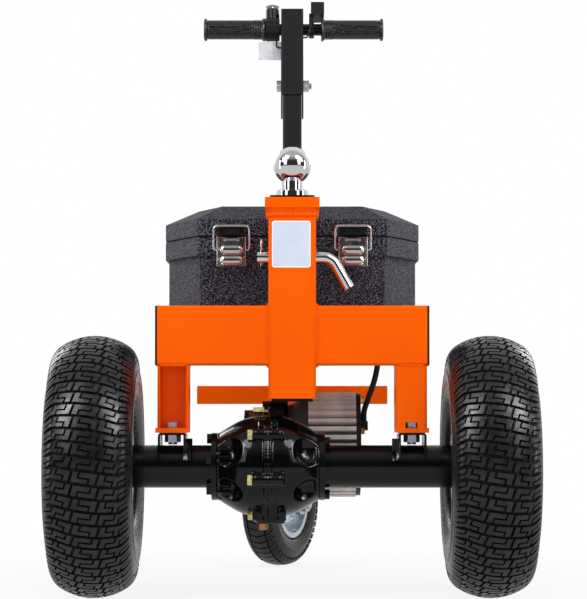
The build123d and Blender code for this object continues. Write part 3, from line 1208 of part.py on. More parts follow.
def caster_fork(parts):
    """The fork with its kingpin, the wheel bolt and both nuts."""
    half = FORK_GAP + FORK_PLATE
    crown = block(around(0, 2 * half), around(-CASTER_TRAIL / 4, FORK_CROWN_LENGTH),
                  (CROWN_Z, CROWN_TOP_Z))
    crown = fillet(crown.edges().filter_by(Axis.Z), 12)
    top = CROWN_Z + 1
    eye = Pos(-CASTER_TRAIL, CASTER_RADIUS) * Circle(FORK_LEG_EYE_RADIUS)
    leg_half = FORK_LEG_TOP_WIDTH / 2
    blade = make_face(Polyline(
        (-leg_half - CASTER_TRAIL / 4, top), (leg_half - CASTER_TRAIL / 4, top),
        (-CASTER_TRAIL + FORK_LEG_EYE_RADIUS, CASTER_RADIUS),
        (-CASTER_TRAIL - FORK_LEG_EYE_RADIUS, CASTER_RADIUS), close=True))
    leg = extrude(Plane.YZ.offset(FORK_GAP) * (eye + blade), amount=FORK_PLATE)
    fork = crown + leg + mirrored(leg)
    bolt_hole = around(0, 2 * half + 2)
    fork -= rod_x(CASTER_AXLE_RADIUS + SEAT_GAP, bolt_hole, -CASTER_TRAIL, CASTER_RADIUS)
    nut_bottom = CASTER_PLATE_Z + CASTER_PLATE_THICKNESS + MOVE_GAP
    kingpin_top = nut_bottom + KINGPIN_NUT_HEIGHT + 4
    fork += rod_z(KINGPIN_RADIUS, (CROWN_Z, kingpin_top))
    parts["caster_fork"] = CASTER_FRAME * fork
    head = (-half - CASTER_NUT_HEIGHT, -half)
    bolt = hex_x(CASTER_NUT_ACROSS_FLATS, head, -CASTER_TRAIL, CASTER_RADIUS)
    bolt += rod_x(CASTER_AXLE_RADIUS, (-half, half + CASTER_NUT_HEIGHT + 4), -CASTER_TRAIL, CASTER_RADIUS)
    nut_x = (half, half + CASTER_NUT_HEIGHT)
    nut = hex_x(CASTER_NUT_ACROSS_FLATS, nut_x, -CASTER_TRAIL, CASTER_RADIUS)
    nut -= rod_x(CASTER_AXLE_RADIUS + SEAT_GAP, nut_x, -CASTER_TRAIL, CASTER_RADIUS)
    top_z = (nut_bottom, nut_bottom + KINGPIN_NUT_HEIGHT)
    top_nut = hex_z(CASTER_NUT_ACROSS_FLATS, top_z) - rod_z(KINGPIN_RADIUS + SEAT_GAP, top_z)
    parts["caster_bolts"] = [CASTER_FRAME * shape for shape in (bolt, nut, top_nut)]


def swivel_bearing():
    """The thrust bearing between the fork's crown and the caster post."""
    span = (CASTER_PLATE_Z - SWIVEL_BEARING_HEIGHT, CASTER_PLATE_Z)
    race = rod_z(SWIVEL_BEARING_RADIUS, span, 0, CASTER_Y)
    return race - rod_z(KINGPIN_RADIUS + RUN_FIT, span, 0, CASTER_Y)


def box_outline(inset):
    """The battery box's outline seen from above, moved in by this much."""
    facet = (BOX_HALF_WIDTH - BOX_FRONT_HALF_WIDTH, BOX_FACET_DEPTH)
    length = math.hypot(*facet)
    front = BOX_FRONT_Y + inset
    rear = BOX_REAR_Y - inset
    side = BOX_HALF_WIDTH - inset
    start_x = BOX_FRONT_HALF_WIDTH - inset * facet[1] / length
    start_y = BOX_FRONT_Y + inset * facet[0] / length
    front_x = start_x + (front - start_y) * facet[0] / facet[1]
    side_y = start_y + (side - start_x) * facet[1] / facet[0]
    corner = BOX_REAR_FACET + inset * (math.sqrt(2) - 2)
    right = [(front_x, front), (side, side_y), (side, rear - corner), (side - corner, rear)]
    left = [(-x, y) for x, y in reversed(right)]
    return right + left


def box_prism(inset, z):
    """An upright prism on the box's outline."""
    return prism_z(box_outline(inset), z)


def box_roof(inset, z, slope):
    """The lid's sloping crown: wide below, drawn in by slope above."""
    low = Pos(0, 0, z[0]) * make_face(Polyline(*box_outline(inset), close=True))
    high = Pos(0, 0, z[1]) * make_face(Polyline(*box_outline(inset + slope), close=True))
    return loft([low, high], ruled=True)


def hinge_knuckles(x, leaf_z, thickness, depth):
    """A hinge leaf with its knuckle, behind the box."""
    knuckle = rod_x(HINGE_RADIUS, x, HINGE_Y, HINGE_Z)
    knuckle += block(x, (BOX_REAR_Y, BOX_REAR_Y + thickness), leaf_z)
    web_y = (BOX_REAR_Y, HINGE_Y)
    knuckle += block(x, web_y, depth)
    return knuckle - rod_x(HINGE_PIN_RADIUS + RUN_FIT, x, HINGE_Y, HINGE_Z)


def battery_box(parts):
    """The tub with its band and hinge leaves, and the lid with its keepers."""
    tub = box_prism(BODY_INSET, (RAIL_TOP_Z, BODY_TOP_Z))
    tub += box_prism(0, (BODY_TOP_Z, BAND_TOP_Z))
    tub += box_prism(BOX_WALL - 1.5, (BAND_TOP_Z, BAND_TOP_Z + TONGUE_HEIGHT - LID_GAP))
    tub -= box_prism(BODY_INSET + BOX_WALL, (FLOOR_TOP_Z, BAND_TOP_Z + TONGUE_HEIGHT))
    tub -= rod_z(GLAND_RADIUS - 2, (RAIL_TOP_Z, FLOOR_TOP_Z), GLAND_X, GLAND_Y)
    lid = box_prism(0, (LID_BOTTOM_Z, LID_BOTTOM_Z + LID_RIM_HEIGHT))
    crown = LID_BOTTOM_Z + LID_RIM_HEIGHT
    lid += box_roof(0, (crown, crown + LID_RISE), LID_TOP_INSET)
    lid -= box_prism(BOX_WALL, (LID_BOTTOM_Z, crown))
    lid -= box_roof(BOX_WALL, (crown, crown + LID_RISE - BOX_WALL), LID_TOP_INSET)
    width = HINGE_KNUCKLE
    gap = MOVE_GAP
    pins = []
    for x in (-HINGE_X, HINGE_X):
        middle = around(x, width - 2 * gap)
        lid += hinge_knuckles(middle, (LID_BOTTOM_Z, LID_BOTTOM_Z + HINGE_LEAF_HEIGHT),
                              HINGE_LEAF_THICKNESS, (LID_BOTTOM_Z, HINGE_Z + HINGE_RADIUS))
        for side in (-1, 1):
            outer = around(x + side * width, width)
            tub += hinge_knuckles(outer, (BAND_TOP_Z - HINGE_LEAF_HEIGHT, BAND_TOP_Z),
                                  HINGE_LEAF_THICKNESS, (HINGE_Z - HINGE_RADIUS, BAND_TOP_Z))
        tub -= rod_x(HINGE_RADIUS + gap, around(x, width), HINGE_Y, HINGE_Z)
        pins.append(rod_x(HINGE_PIN_RADIUS, around(x, 3 * width), HINGE_Y, HINGE_Z))
    keepers = []
    keeper_z = (BAND_TOP_Z + KEEPER_RISE, BAND_TOP_Z + KEEPER_RISE + KEEPER_HEIGHT)
    for x in (-LATCH_X, LATCH_X):
        keeper = block(around(x, KEEPER_WIDTH), (BOX_FRONT_Y - KEEPER_DEPTH, BOX_FRONT_Y), keeper_z)
        keepers.append(keeper)
    parts["box_tub"] = [tub, *pins]
    parts["box_lid"] = lid
    parts["latch_keepers"] = keepers


def box_contents(parts):
    """The two batteries with their terminals, the controller and the motor cable."""
    batteries = []
    for side in (-1, 1):
        middle = side * (BATTERY_WIDTH + BATTERY_SPACING) / 2
        z = (FLOOR_TOP_Z, FLOOR_TOP_Z + BATTERY_HEIGHT)
        case = block(around(middle, BATTERY_WIDTH), (BATTERY_FRONT_Y, BATTERY_REAR_Y), z)
        case = fillet(case.edges().filter_by(Axis.Z), 4)
        for y in (BATTERY_FRONT_Y + TERMINAL_POST_INSET, BATTERY_REAR_Y - TERMINAL_POST_INSET):
            case += rod_z(TERMINAL_POST_RADIUS, (z[1], z[1] + TERMINAL_POST_HEIGHT), middle, y)
        batteries.append(case)
    parts["batteries"] = batteries
    base_z = (FLOOR_TOP_Z, FLOOR_TOP_Z + CONTROLLER_HEIGHT)
    controller = block(around(0, CONTROLLER_WIDTH), around(CONTROLLER_Y, CONTROLLER_DEPTH), base_z)
    pitch = CONTROLLER_DEPTH / CONTROLLER_FIN_COUNT
    for step in range(1, CONTROLLER_FIN_COUNT):
        slot_y = around(CONTROLLER_Y - CONTROLLER_DEPTH / 2 + step * pitch, pitch / 2)
        controller -= block(around(0, CONTROLLER_WIDTH), slot_y, (base_z[1] - 10, base_z[1]))
    parts["motor_controller"] = controller
    parts["motor_cable"] = motor_cable()


def motor_cable():
    """The cable from the controller through the gland to the motor, and the gland."""
    terminal_x = MOTOR_BODY_END_X + MOTOR_END_THICKNESS + TERMINAL_DEPTH / 2
    terminal_z = MOTOR_Z + TERMINAL_RISE + TERMINAL_HEIGHT / 2
    level = FLOOR_TOP_Z + CONTROLLER_HEIGHT / 2
    points = [
        (CONTROLLER_WIDTH / 2, CONTROLLER_Y, level),
        (GLAND_X - 22, CONTROLLER_Y, level),
        (GLAND_X, GLAND_Y, level - 14),
        (GLAND_X, GLAND_Y, RAIL_TOP_Z - 40),
        (terminal_x, GLAND_Y, terminal_z + 14),
        (terminal_x, GLAND_Y, terminal_z),
    ]
    cable = wire_along(points, CABLE_RADIUS)
    body = rod_z(GLAND_RADIUS, (RAIL_TOP_Z - GLAND_LENGTH, RAIL_TOP_Z), GLAND_X, GLAND_Y)
    body += rod_z(GLAND_RADIUS - 2 - SEAT_GAP, (RAIL_TOP_Z, FLOOR_TOP_Z), GLAND_X, GLAND_Y)
    nut_z = (FLOOR_TOP_Z, FLOOR_TOP_Z + GLAND_NUT_HEIGHT)
    body += hex_z(GLAND_NUT_ACROSS_FLATS, nut_z, GLAND_X, GLAND_Y)
    reach = (RAIL_TOP_Z - GLAND_LENGTH, nut_z[1])
    body -= rod_z(CABLE_RADIUS + SEAT_GAP, reach, GLAND_X, GLAND_Y)
    return [cable, body]


def latches(parts):
    """Both draw latches: base, lever and wire bail."""
    bases = []
    for name, x in (("left", -LATCH_X), ("right", LATCH_X)):
        bases += latch_base(x)
        parts["latch_lever_" + name] = latch_lever(x)
        parts["latch_bail_" + name] = latch_bail(x)
    parts["latch_bases"] = bases


def latch_base(x):
    """The latch's base plate with two ears, and the pivot pin between them."""
    face = BOX_FRONT_Y - LATCH_BASE_THICKNESS
    z = (BAND_TOP_Z - LATCH_BASE_HEIGHT, BAND_TOP_Z - 1)
    base = block(around(x, LATCH_BASE_WIDTH), (face, BOX_FRONT_Y), z)
    ear_z = (LATCH_PIVOT_Z - LATCH_EAR_RADIUS, LATCH_PIVOT_Z + 2)
    for side in (-1, 1):
        ear_x = around(x + side * LATCH_EAR_X, LATCH_EAR_THICKNESS)
        base += block(ear_x, (LATCH_PIVOT_Y, BOX_FRONT_Y), ear_z)
        base += rod_x(LATCH_EAR_RADIUS, ear_x, LATCH_PIVOT_Y, LATCH_PIVOT_Z)
    base -= rod_x(LATCH_PIN_RADIUS + RUN_FIT, around(x, LATCH_BASE_WIDTH), LATCH_PIVOT_Y, LATCH_PIVOT_Z)
    return [base]


def latch_lever(x):
    """The lever: a plate with side flanges, its pivot pin and two pressed louvres."""
    plate_y = (LATCH_PIVOT_Y - LEVER_STANDOFF, LATCH_PIVOT_Y - LEVER_STANDOFF + LEVER_PLATE)
    z = (LATCH_PIVOT_Z - LEVER_BELOW, LATCH_PIVOT_Z + LEVER_ABOVE)
    lever = block(around(x, LEVER_WIDTH), plate_y, z)
    half_notch = LEVER_NOTCH_WIDTH / 2
    notch = [(x - half_notch, z[1]), (x + half_notch, z[1]),
             (x + half_notch - 3, z[1] - LEVER_NOTCH_DEPTH), (x - half_notch + 3, z[1] - LEVER_NOTCH_DEPTH)]
    face = Plane.XZ.offset(-plate_y[1]) * make_face(Polyline(*notch, close=True))
    lever -= extrude(face, amount=LEVER_PLATE)
    inner = LATCH_BASE_WIDTH / 2 + MOVE_GAP
    for side in (-1, 1):
        flange_x = sorted((x + side * inner, x + side * LEVER_WIDTH / 2))
        lever += block(flange_x, (plate_y[0], LATCH_PIVOT_Y + 3.0), (z[0] + 6, z[1] - 1))
    bail_z = LATCH_PIVOT_Z - BAIL_PIVOT_DROP
    lever -= rod_x(BAIL_WIRE_RADIUS + RUN_FIT, around(x, LEVER_WIDTH + 2), LATCH_PIVOT_Y, bail_z)
    lever += rod_x(LATCH_PIN_RADIUS, around(x, LEVER_WIDTH), LATCH_PIVOT_Y, LATCH_PIVOT_Z)
    for louvre_z in (z[0] + 6.5, z[0] + 17.5):
        louvre = rod_x(LEVER_LOUVRE_RADIUS, around(x, LEVER_LOUVRE_WIDTH), plate_y[1], louvre_z)
        front = (plate_y[0] - LEVER_LOUVRE_RADIUS, plate_y[1])
        lever += louvre & block(around(x, LEVER_WIDTH), front, around(louvre_z, 20))
    return lever


def latch_bail(x):
    """The wire bail: a loop round the keeper, its ends turned into the lever."""
    half = BAIL_WIDTH / 2 - BAIL_WIRE_RADIUS
    low = LATCH_PIVOT_Z - BAIL_PIVOT_DROP
    high = low + BAIL_HEIGHT
    y = LATCH_PIVOT_Y
    end = LATCH_BASE_WIDTH / 2 + MOVE_GAP
    turn = 2.6
    points = [(x - end, y, low), (x - half, y, low), (x - half, y - 2.0, high),
              (x + half, y - 2.0, high), (x + half, y, low), (x + end, y, low)]
    path = FilletPolyline(*points, radius=[turn, BAIL_CORNER, BAIL_CORNER, turn])
    return sweep(Plane(path @ 0, z_dir=path % 0) * Circle(BAIL_WIRE_RADIUS), path=path)


def rounded_tube(size, wall, z):
    """An upright handle tube with small rounded corners."""
    return square_tube_z(size, wall, 3.0, z)


def handle_frame(parts):
    """The lower tube with its base plate, in its leaning frame."""
    top = LOWER_TUBE_SIZE / 2
    length = (HANDLE_PIVOT_Z - RAIL_TOP_Z) / math.cos(math.radians(HANDLE_LEAN)) + 30
    tube = rounded_tube(LOWER_TUBE_SIZE, LOWER_TUBE_WALL, (-length, top))
    round_end = block(around(0, LOWER_TUBE_SIZE), around(0, LOWER_TUBE_SIZE), (0, top))
    round_end -= rod_x(LOWER_TUBE_SIZE / 2, around(0, LOWER_TUBE_SIZE))
    tube -= round_end
    tube -= rod_x(PIVOT_BOLT_RADIUS + RUN_FIT, around(0, LOWER_TUBE_SIZE))
    tube = HANDLE_FRAME * tube
    foot_z = RAIL_TOP_Z + HANDLE_BASE_THICKNESS
    foot_y = handle_foot_y()
    tube -= block(around(0, 200), around(foot_y - 40, 300), (foot_z - 200, foot_z))
    base = block(around(0, HANDLE_BASE_WIDTH), around(foot_y, HANDLE_BASE_LENGTH),
                 (RAIL_TOP_Z, foot_z))
    parts["handle_lower_tube"] = tube + base


def handle_head(parts):
    """The folding upper tube, its bolt and the cross bar."""
    half = UPPER_TUBE_SIZE / 2
    wall = UPPER_TUBE_WALL
    tube = rounded_tube(UPPER_TUBE_SIZE, wall, (-CHEEK_DROP, UPPER_TUBE_RISE))
    inner = half - wall
    wide = around(0, 2 * inner)
    tube -= block(wide, (-half - 1, -inner), (-CHEEK_DROP - 1, -FRONT_WALL_DROP))
    tube -= block(wide, (inner, half + 1), (-CHEEK_DROP - 1, REAR_WALL_RISE))
    tube -= block(wide, (-inner, inner), (-CHEEK_DROP - 1, REAR_WALL_RISE))
    tube -= block((-half - 1, half + 1), (inner, half + 1), (-CHEEK_DROP - 1, REAR_WALL_RISE))
    tube -= block((-half - 1, half + 1), (-half - 1, -inner), (-CHEEK_DROP - 1, -FRONT_WALL_DROP))
    cap = RectangleRounded(2 * inner, 2 * inner, 1.0)
    tube += Pos(0, 0, UPPER_TUBE_RISE - 3) * extrude(cap, amount=3)
    tube -= rod_x(PIVOT_BOLT_RADIUS + SEAT_GAP, around(0, UPPER_TUBE_SIZE + 2))
    tube -= rod_x(BAR_RADIUS + SEAT_GAP, around(0, UPPER_TUBE_SIZE + 2), 0, BAR_RISE)
    parts["handle_upper_tube"] = HANDLE_FRAME * tube
    head = hex_x(PIVOT_HEAD_ACROSS_FLATS, (-half - PIVOT_HEAD_HEIGHT, -half))
    bolt = head + rod_x(PIVOT_BOLT_RADIUS, (-half, half + PIVOT_NUT_HEIGHT + 4))
    nut_x = (half, half + PIVOT_NUT_HEIGHT)
    nut = hex_x(PIVOT_HEAD_ACROSS_FLATS, nut_x) - rod_x(PIVOT_BOLT_RADIUS + SEAT_GAP, nut_x)
    parts["pivot_bolt"] = [HANDLE_FRAME * bolt, HANDLE_FRAME * nut]
    bar = ring_x(BAR_RADIUS, BAR_RADIUS - 2, (-BAR_LEFT_REACH, BAR_RIGHT_REACH), 0, BAR_RISE)
    parts["handle_bar"] = HANDLE_FRAME * bar


def grip(inner_x, bar_end, fit):
    """A grip on the right end of the bar: flare, ribs, sleeve and end flange."""
    end = bar_end + MOVE_GAP + GRIP_END_WALL
    shape = rod_x(GRIP_RADIUS, (inner_x, end - 1))
    shape += rod_x(GRIP_FLARE_RADIUS, (inner_x, inner_x + GRIP_FLARE_WIDTH))
    for step in (1, 2):
        rib = around(inner_x + GRIP_FLARE_WIDTH + 5 * step, 2.4)
        shape += rod_x(GRIP_RADIUS + 0.8, rib)
    flange = rod_x(GRIP_FLANGE_RADIUS, (end - GRIP_FLANGE_WIDTH, end))
    shape += fillet(flange.edges(), 2.2)
    return shape - rod_x(BAR_RADIUS + fit, (inner_x, bar_end + MOVE_GAP))


def controls(parts):
    """Grips, throttle housing with the key, switch box with its rocker, wires."""
    lift = Pos(0, 0, BAR_RISE)
    right = grip(GRIP_INNER_X, BAR_RIGHT_REACH, GRIP_WALL_FIT)
    parts["grip_right"] = HANDLE_FRAME * (lift * right)
    throttle_outer = THROTTLE_INNER_X + THROTTLE_WIDTH
    left = mirrored(grip(throttle_outer + MOVE_GAP, BAR_LEFT_REACH, GRIP_WALL_FIT))
    parts["throttle_grip"] = HANDLE_FRAME * (lift * left)
    span = (-throttle_outer, -THROTTLE_INNER_X)
    housing = rod_x(THROTTLE_RADIUS, span)
    housing = chamfer(housing.edges(), 1.5)
    middle = (span[0] + span[1]) / 2
    barrel_z = (THROTTLE_RADIUS - 6, THROTTLE_RADIUS + KEY_BARREL_HEIGHT)
    housing += rod_z(KEY_BARREL_RADIUS, barrel_z, middle)
    housing -= rod_x(BAR_RADIUS + SEAT_GAP, span)
    blade_z = (barrel_z[1] - KEY_BLADE_LENGTH, barrel_z[1] + 1.5)
    housing -= rod_z(KEY_BLADE_RADIUS + RUN_FIT, (blade_z[0] - MOVE_GAP, barrel_z[1]), middle)
    parts["throttle_housing"] = HANDLE_FRAME * (lift * housing)
    bow_z = blade_z[1] + KEY_BOW_HEIGHT / 2
    bow = Pos(middle, 0, bow_z) * extrude(
        Plane.XZ * Ellipse(KEY_BOW_WIDTH / 2, KEY_BOW_HEIGHT / 2), amount=KEY_BOW_THICKNESS / 2, both=True)
    key = rod_z(KEY_BLADE_RADIUS, (blade_z[0], bow_z), middle) + bow
    parts["switch_key"] = HANDLE_FRAME * (lift * key)
    switch_box(parts, lift)
    parts["handle_wires"] = handle_wires(lift)


def switch_box(parts, lift):
    """The rocker switch's box on its clamp, and the rocker on its pin."""
    x = (SWITCH_BOX_X, SWITCH_BOX_X + SWITCH_BOX_WIDTH)
    z = (SWITCH_BOX_RISE, SWITCH_BOX_RISE + SWITCH_BOX_HEIGHT)
    y = around(0, SWITCH_BOX_DEPTH)
    shape = block(x, y, z)
    shape = fillet(shape.edges().filter_by(Axis.Y), 2.0)
    wall = SWITCH_BOX_WALL
    shape -= block((x[0] + wall, x[1] - wall), (y[0] + wall, y[1] - wall), (z[0] + wall, z[1] - wall))
    middle_x = (x[0] + x[1]) / 2
    middle_z = (z[0] + z[1]) / 2
    rocker_half = ROCKER_WIDTH / 2
    window_x = around(middle_x, ROCKER_WIDTH + 2 * MOVE_GAP)
    window_z = around(middle_z, ROCKER_HEIGHT + 2.0)
    shape -= block(window_x, (y[1] - wall, y[1]), window_z)
    clamp_x = around(SWITCH_BOX_X - 1.0 + SWITCH_CLAMP_WIDTH / 2 - 2.0, SWITCH_CLAMP_WIDTH)
    clamp = rod_x(SWITCH_CLAMP_RADIUS, clamp_x)
    clamp += block(clamp_x, around(0, 20), (0, z[0] + 4))
    clamp -= rod_x(BAR_RADIUS + SEAT_GAP, clamp_x)
    clamp -= block((x[0] + wall, x[1]), (y[0] + wall, y[1] - wall), (z[0] + wall, z[1]))
    for side in (-1, 1):
        ear = sorted((middle_x + side * (rocker_half + MOVE_GAP), middle_x + side * (rocker_half + 2.5)))
        shape += block(ear, (y[1] - 7, y[1] - wall), around(middle_z, 6))
    pin_y = y[1] - 4.5
    shape -= rod_x(ROCKER_PIN_RADIUS + RUN_FIT, around(middle_x, ROCKER_WIDTH + 5.2), pin_y, middle_z)
    parts["switch_box"] = HANDLE_FRAME * (lift * (shape + clamp))
    wedge = make_face(Polyline(
        (pin_y - 1, middle_z - 4), (pin_y - 1, middle_z + 4),
        (y[1] + 3.5, middle_z + ROCKER_HEIGHT / 2 - 0.5), (y[1] + 1.5, middle_z),
        (y[1] + 3.5, middle_z - ROCKER_HEIGHT / 2 + 0.5), close=True))
    rocker = extrude(Plane.YZ.offset(middle_x - rocker_half) * wedge, amount=ROCKER_WIDTH)
    rocker += rod_x(ROCKER_PIN_RADIUS, around(middle_x, ROCKER_WIDTH + 4.6), pin_y, middle_z)
    parts["rocker_switch"] = HANDLE_FRAME * (lift * rocker)


def handle_wires(lift):
    """The thin leads from the throttle and the switch into the upper tube."""
    side = UPPER_TUBE_SIZE / 2
    left = [
        (-THROTTLE_INNER_X - 5, 0, -THROTTLE_RADIUS),
        (-THROTTLE_INNER_X - 5, 0, -THROTTLE_RADIUS - 13),
        (-side, 0, -THROTTLE_RADIUS - 13),
    ]
    low = -SWITCH_CLAMP_RADIUS + 1
    right = [
        (SWITCH_BOX_X + 5.5, low - 1, SWITCH_BOX_RISE),
        (SWITCH_BOX_X + 5.5, low - 1, SWITCH_BOX_RISE - 6),
        (SWITCH_BOX_X - 1.0, low - 4, -2),
        (side + 7, low, -20),
        (side, low, -20),
    ]
    return [HANDLE_FRAME * (lift * wire_along(points, WIRE_RADIUS)) for points in (left, right)]


def build():
    """Every node of the dolly, placed from the middle of its axle."""
    parts = {}
    drive_wheels(parts)
    differential_housing(parts)
    bearings = axle_tubes(parts)
    differential(parts)
    reduction_gears(parts)
    bearings += gear_case(parts)
    bearings += motor(parts)
    bearings.append(swivel_bearing())
    parts["ball_bearings"] = bearings
    legs_and_saddles(parts)
    beam(parts)
    receiver(parts)
    rear_frame(parts)
    caster_wheel(parts)
    caster_fork(parts)
    battery_box(parts)
    box_contents(parts)
    latches(parts)
    handle_frame(parts)
    handle_head(parts)
    controls(parts)
    nodes = {}
    for name, shape in parts.items():
        nodes[name] = group(*shape) if isinstance(shape, list) else group(shape)
    return nodes


def origin_shift(nodes):
    """The move that puts the origin under the middle of the whole dolly."""
    boxes = [node.bounding_box() for node in nodes.values()]
    low = min(box.min.Y for box in boxes)
    high = max(box.max.Y for box in boxes)
    return -(low + high) / 2


NODES = build()
ORIGIN_Y = origin_shift(NODES)
os.makedirs("parts", exist_ok=True)
for node_name, node_shape in NODES.items():
    export_step(Pos(0, ORIGIN_Y, 0) * node_shape, "parts/" + node_name + ".step")
print("nodes", len(NODES), "origin shift", round(ORIGIN_Y, 4))
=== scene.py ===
"""Tyres, grips, welds and finishes of an electric trailer dolly, round its frame of solids."""

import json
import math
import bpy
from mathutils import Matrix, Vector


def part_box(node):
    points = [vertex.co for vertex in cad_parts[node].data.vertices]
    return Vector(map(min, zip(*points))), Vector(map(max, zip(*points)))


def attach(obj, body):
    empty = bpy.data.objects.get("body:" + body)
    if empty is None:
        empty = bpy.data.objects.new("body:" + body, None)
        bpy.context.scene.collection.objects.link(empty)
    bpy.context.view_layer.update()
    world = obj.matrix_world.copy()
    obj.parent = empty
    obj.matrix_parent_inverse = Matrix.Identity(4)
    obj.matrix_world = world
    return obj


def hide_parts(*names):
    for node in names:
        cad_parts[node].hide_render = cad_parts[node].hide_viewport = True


bl_info = {
    "name": "Electric Trailer Dolly",
    "version": (1, 0, 0),
    "blender": (4, 5, 0),
    "location": "View3D > Sidebar > Dolly",
    "description": "Tyres, grips, welds and finishes of an electric trailer dolly",
    "category": "Add Mesh",
}

import bmesh
import bpy
from bpy.props import FloatProperty, FloatVectorProperty, IntProperty, PointerProperty
from mathutils import Vector

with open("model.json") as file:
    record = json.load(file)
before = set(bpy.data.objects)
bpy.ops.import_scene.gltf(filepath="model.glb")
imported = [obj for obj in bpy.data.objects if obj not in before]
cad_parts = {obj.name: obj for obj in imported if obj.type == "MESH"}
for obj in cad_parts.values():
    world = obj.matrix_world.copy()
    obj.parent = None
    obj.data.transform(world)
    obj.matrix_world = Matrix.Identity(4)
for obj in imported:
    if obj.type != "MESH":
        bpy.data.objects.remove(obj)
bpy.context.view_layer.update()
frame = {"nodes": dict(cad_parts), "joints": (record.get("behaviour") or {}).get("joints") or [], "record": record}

MM = 0.001
QUARTER = math.pi / 2
SIDES = ("left", "right")


def srgb(red, green, blue):
    """A linear colour from 0 to 255 display values."""
    channels = []
    for value in (red, green, blue):
        share = value / 255
        if share <= 0.04045:
            channels.append(share / 12.92)
        else:
            channels.append(((share + 0.055) / 1.055) ** 2.4)
    return tuple(channels)


# Settings that a user would change


def length(name, default, description):
    """A length property, whose default is given in millimetres."""
    return FloatProperty(name=name, description=description, default=default * MM, unit="LENGTH",
                         subtype="DISTANCE", precision=4)


def colour(name, default, description):
    """A colour property."""
    return FloatVectorProperty(name=name, description=description, default=default, size=3,
                               min=0.0, max=1.0, subtype="COLOR")


def level(name, default, description, **limits):
    """A plain number from 0 up."""
    return FloatProperty(name=name, description=description, default=default, min=0.0, **limits)


def power(name, default, description):
    """The power of a lamp."""
    return level(name, default, description, unit="POWER")


def count(name, default, least, description):
    """A whole number."""
    return IntProperty(name=name, description=description, default=default, min=least)


class DollyFinishSettings(bpy.types.PropertyGroup):
    frame_paint: colour("Frame paint", srgb(244, 91, 0), "Powder coat of the frame, post and legs")
    casting_paint: colour("Casting paint", srgb(5, 5, 7), "Gloss paint of the axle housing")
    tube_paint: colour("Tube paint", srgb(8, 8, 9), "Satin paint of the axle tubes")
    handle_paint: colour("Handle paint", srgb(38, 40, 40), "Powder coat of the handle tubes")
    box_plastic: colour("Box plastic", srgb(38, 38, 44), "Grained plastic of the battery box")
    tyre_rubber: colour("Tyre rubber", srgb(19, 19, 22), "Rubber of the tyres")
    grip_rubber: colour("Grip rubber", srgb(21, 21, 25), "Rubber of the two grips")
    motor_metal: colour("Motor metal", srgb(232, 226, 222), "Cast aluminium of the motor")


class DollyTreadSettings(bpy.types.PropertyGroup):
    repeats: count("Repeats", 31, 8, "Pairs of block rows round the tyre")
    depth: length("Depth", 4.2, "Depth of the grooves")
    groove: length("Cross groove", 4.8, "Width of the grooves between rows")
    gap: length("Gap", 3.7, "Width of the gaps between two blocks of a row")
    sipe: length("Sipe", 2.7, "Width of the stepped cuts inside a block")
    slant: length("Slant", 4.5, "How far a row leans sideways over its height")
    sweep: level("Sweep", 0.14, "Fall of a row across the tyre")
    crown_radius: length("Crown radius", 80, "Radius of the tread across the tyre")
    shoulder_radius: length("Shoulder radius", 28, "Radius where the tread turns down")


class DollyCasterTreadSettings(bpy.types.PropertyGroup):
    repeats: count("Repeats", 51, 8, "Blocks round the tyre")
    depth: length("Depth", 2.6, "Depth of the grooves")
    groove: length("Groove", 2.4, "Width of the grooves")
    wave: length("Wave", 3.0, "How far a cross groove dips at the middle")


class DollyGripSettings(bpy.types.PropertyGroup):
    groove_depth: length("Groove depth", 1.6, "Depth of the long grooves")
    rib_height: length("Rib height", 0.7, "Height of the rings at the inner end")


class DollyHousingSettings(bpy.types.PropertyGroup):
    pocket_half_length: length("Pocket half length", 24.5, "Half a pocket's length along the axle")
    pocket_half_width: length("Pocket half width", 24, "Half an upper pocket's width")
    low_half_width: length("Lower half width", 19.5, "Half a lower pocket's width")
    pocket_floor: length("Pocket floor", 40, "Distance from the axle to a pocket's floor")
    wall: length("Wall", 3.5, "Wall between a pocket and the hollow")
    grain: length("Casting grain", 1.15, "Size of the facets that the casting is worked in")
    rounding: count("Rounding", 6, 0, "How often the edges are eased")


class DollyWeldSettings(bpy.types.PropertyGroup):
    radius: length("Bead radius", 2.6, "Radius of a weld bead")
    ripple: length("Ripple", 3.2, "Distance between two ripples of a bead")


class DollyLabelSettings(bpy.types.PropertyGroup):
    width: length("Width", 51.4, "Width of the blank plate on the post")
    height: length("Height", 62.2, "Height of the blank plate on the post")
    thickness: length("Thickness", 0.5, "Thickness of the blank plate")
    face: colour("Face", srgb(200, 209, 226), "Colour of the blank plate's face")


class DollyStageSettings(bpy.types.PropertyGroup):
    floor: colour("Floor", (0.72, 0.72, 0.73), "Colour that the floor lights the dolly with")
    whiteness: level("Floor whiteness", 0.87, "How far white hides the floor's shadow", max=1.0)
    ambient: level("Ambient", 0.52, "Level of the light from all round")
    floor_level: level("Mirrored floor", 0.66, "Level that gloss and metal mirror from the floor")
    front_level: level("Dark side", 0.03, "Level that gloss and metal mirror from in front")
    front_power: power("Front lights", 7.5, "Power of each soft box beside the camera")
    high_power: power("High lights", 16.5, "Power of each soft box high in front")
    side_power: power("Side lights", 8.0, "Power of each strip light at the sides")
    gloss_power: power("Gloss lights", 36.0, "Power of the boxes that only gloss and metal mirror")
    fill_power: power("Fill light", 17.0, "Power of the camera's light, which nothing mirrors")
    rear_power: power("Rear lights", 14.0, "Power of each soft box behind the dolly")


# Selecting and shaping, as by hand


def start_clean():
    """Leaves edit mode with nothing selected."""
    if bpy.context.mode != "OBJECT":
        bpy.ops.object.mode_set(mode="OBJECT")
    bpy.ops.object.select_all(action="DESELECT")


def make_active(obj):
    """Selects just this object."""
    start_clean()
    obj.select_set(True)
    bpy.context.view_layer.objects.active = obj


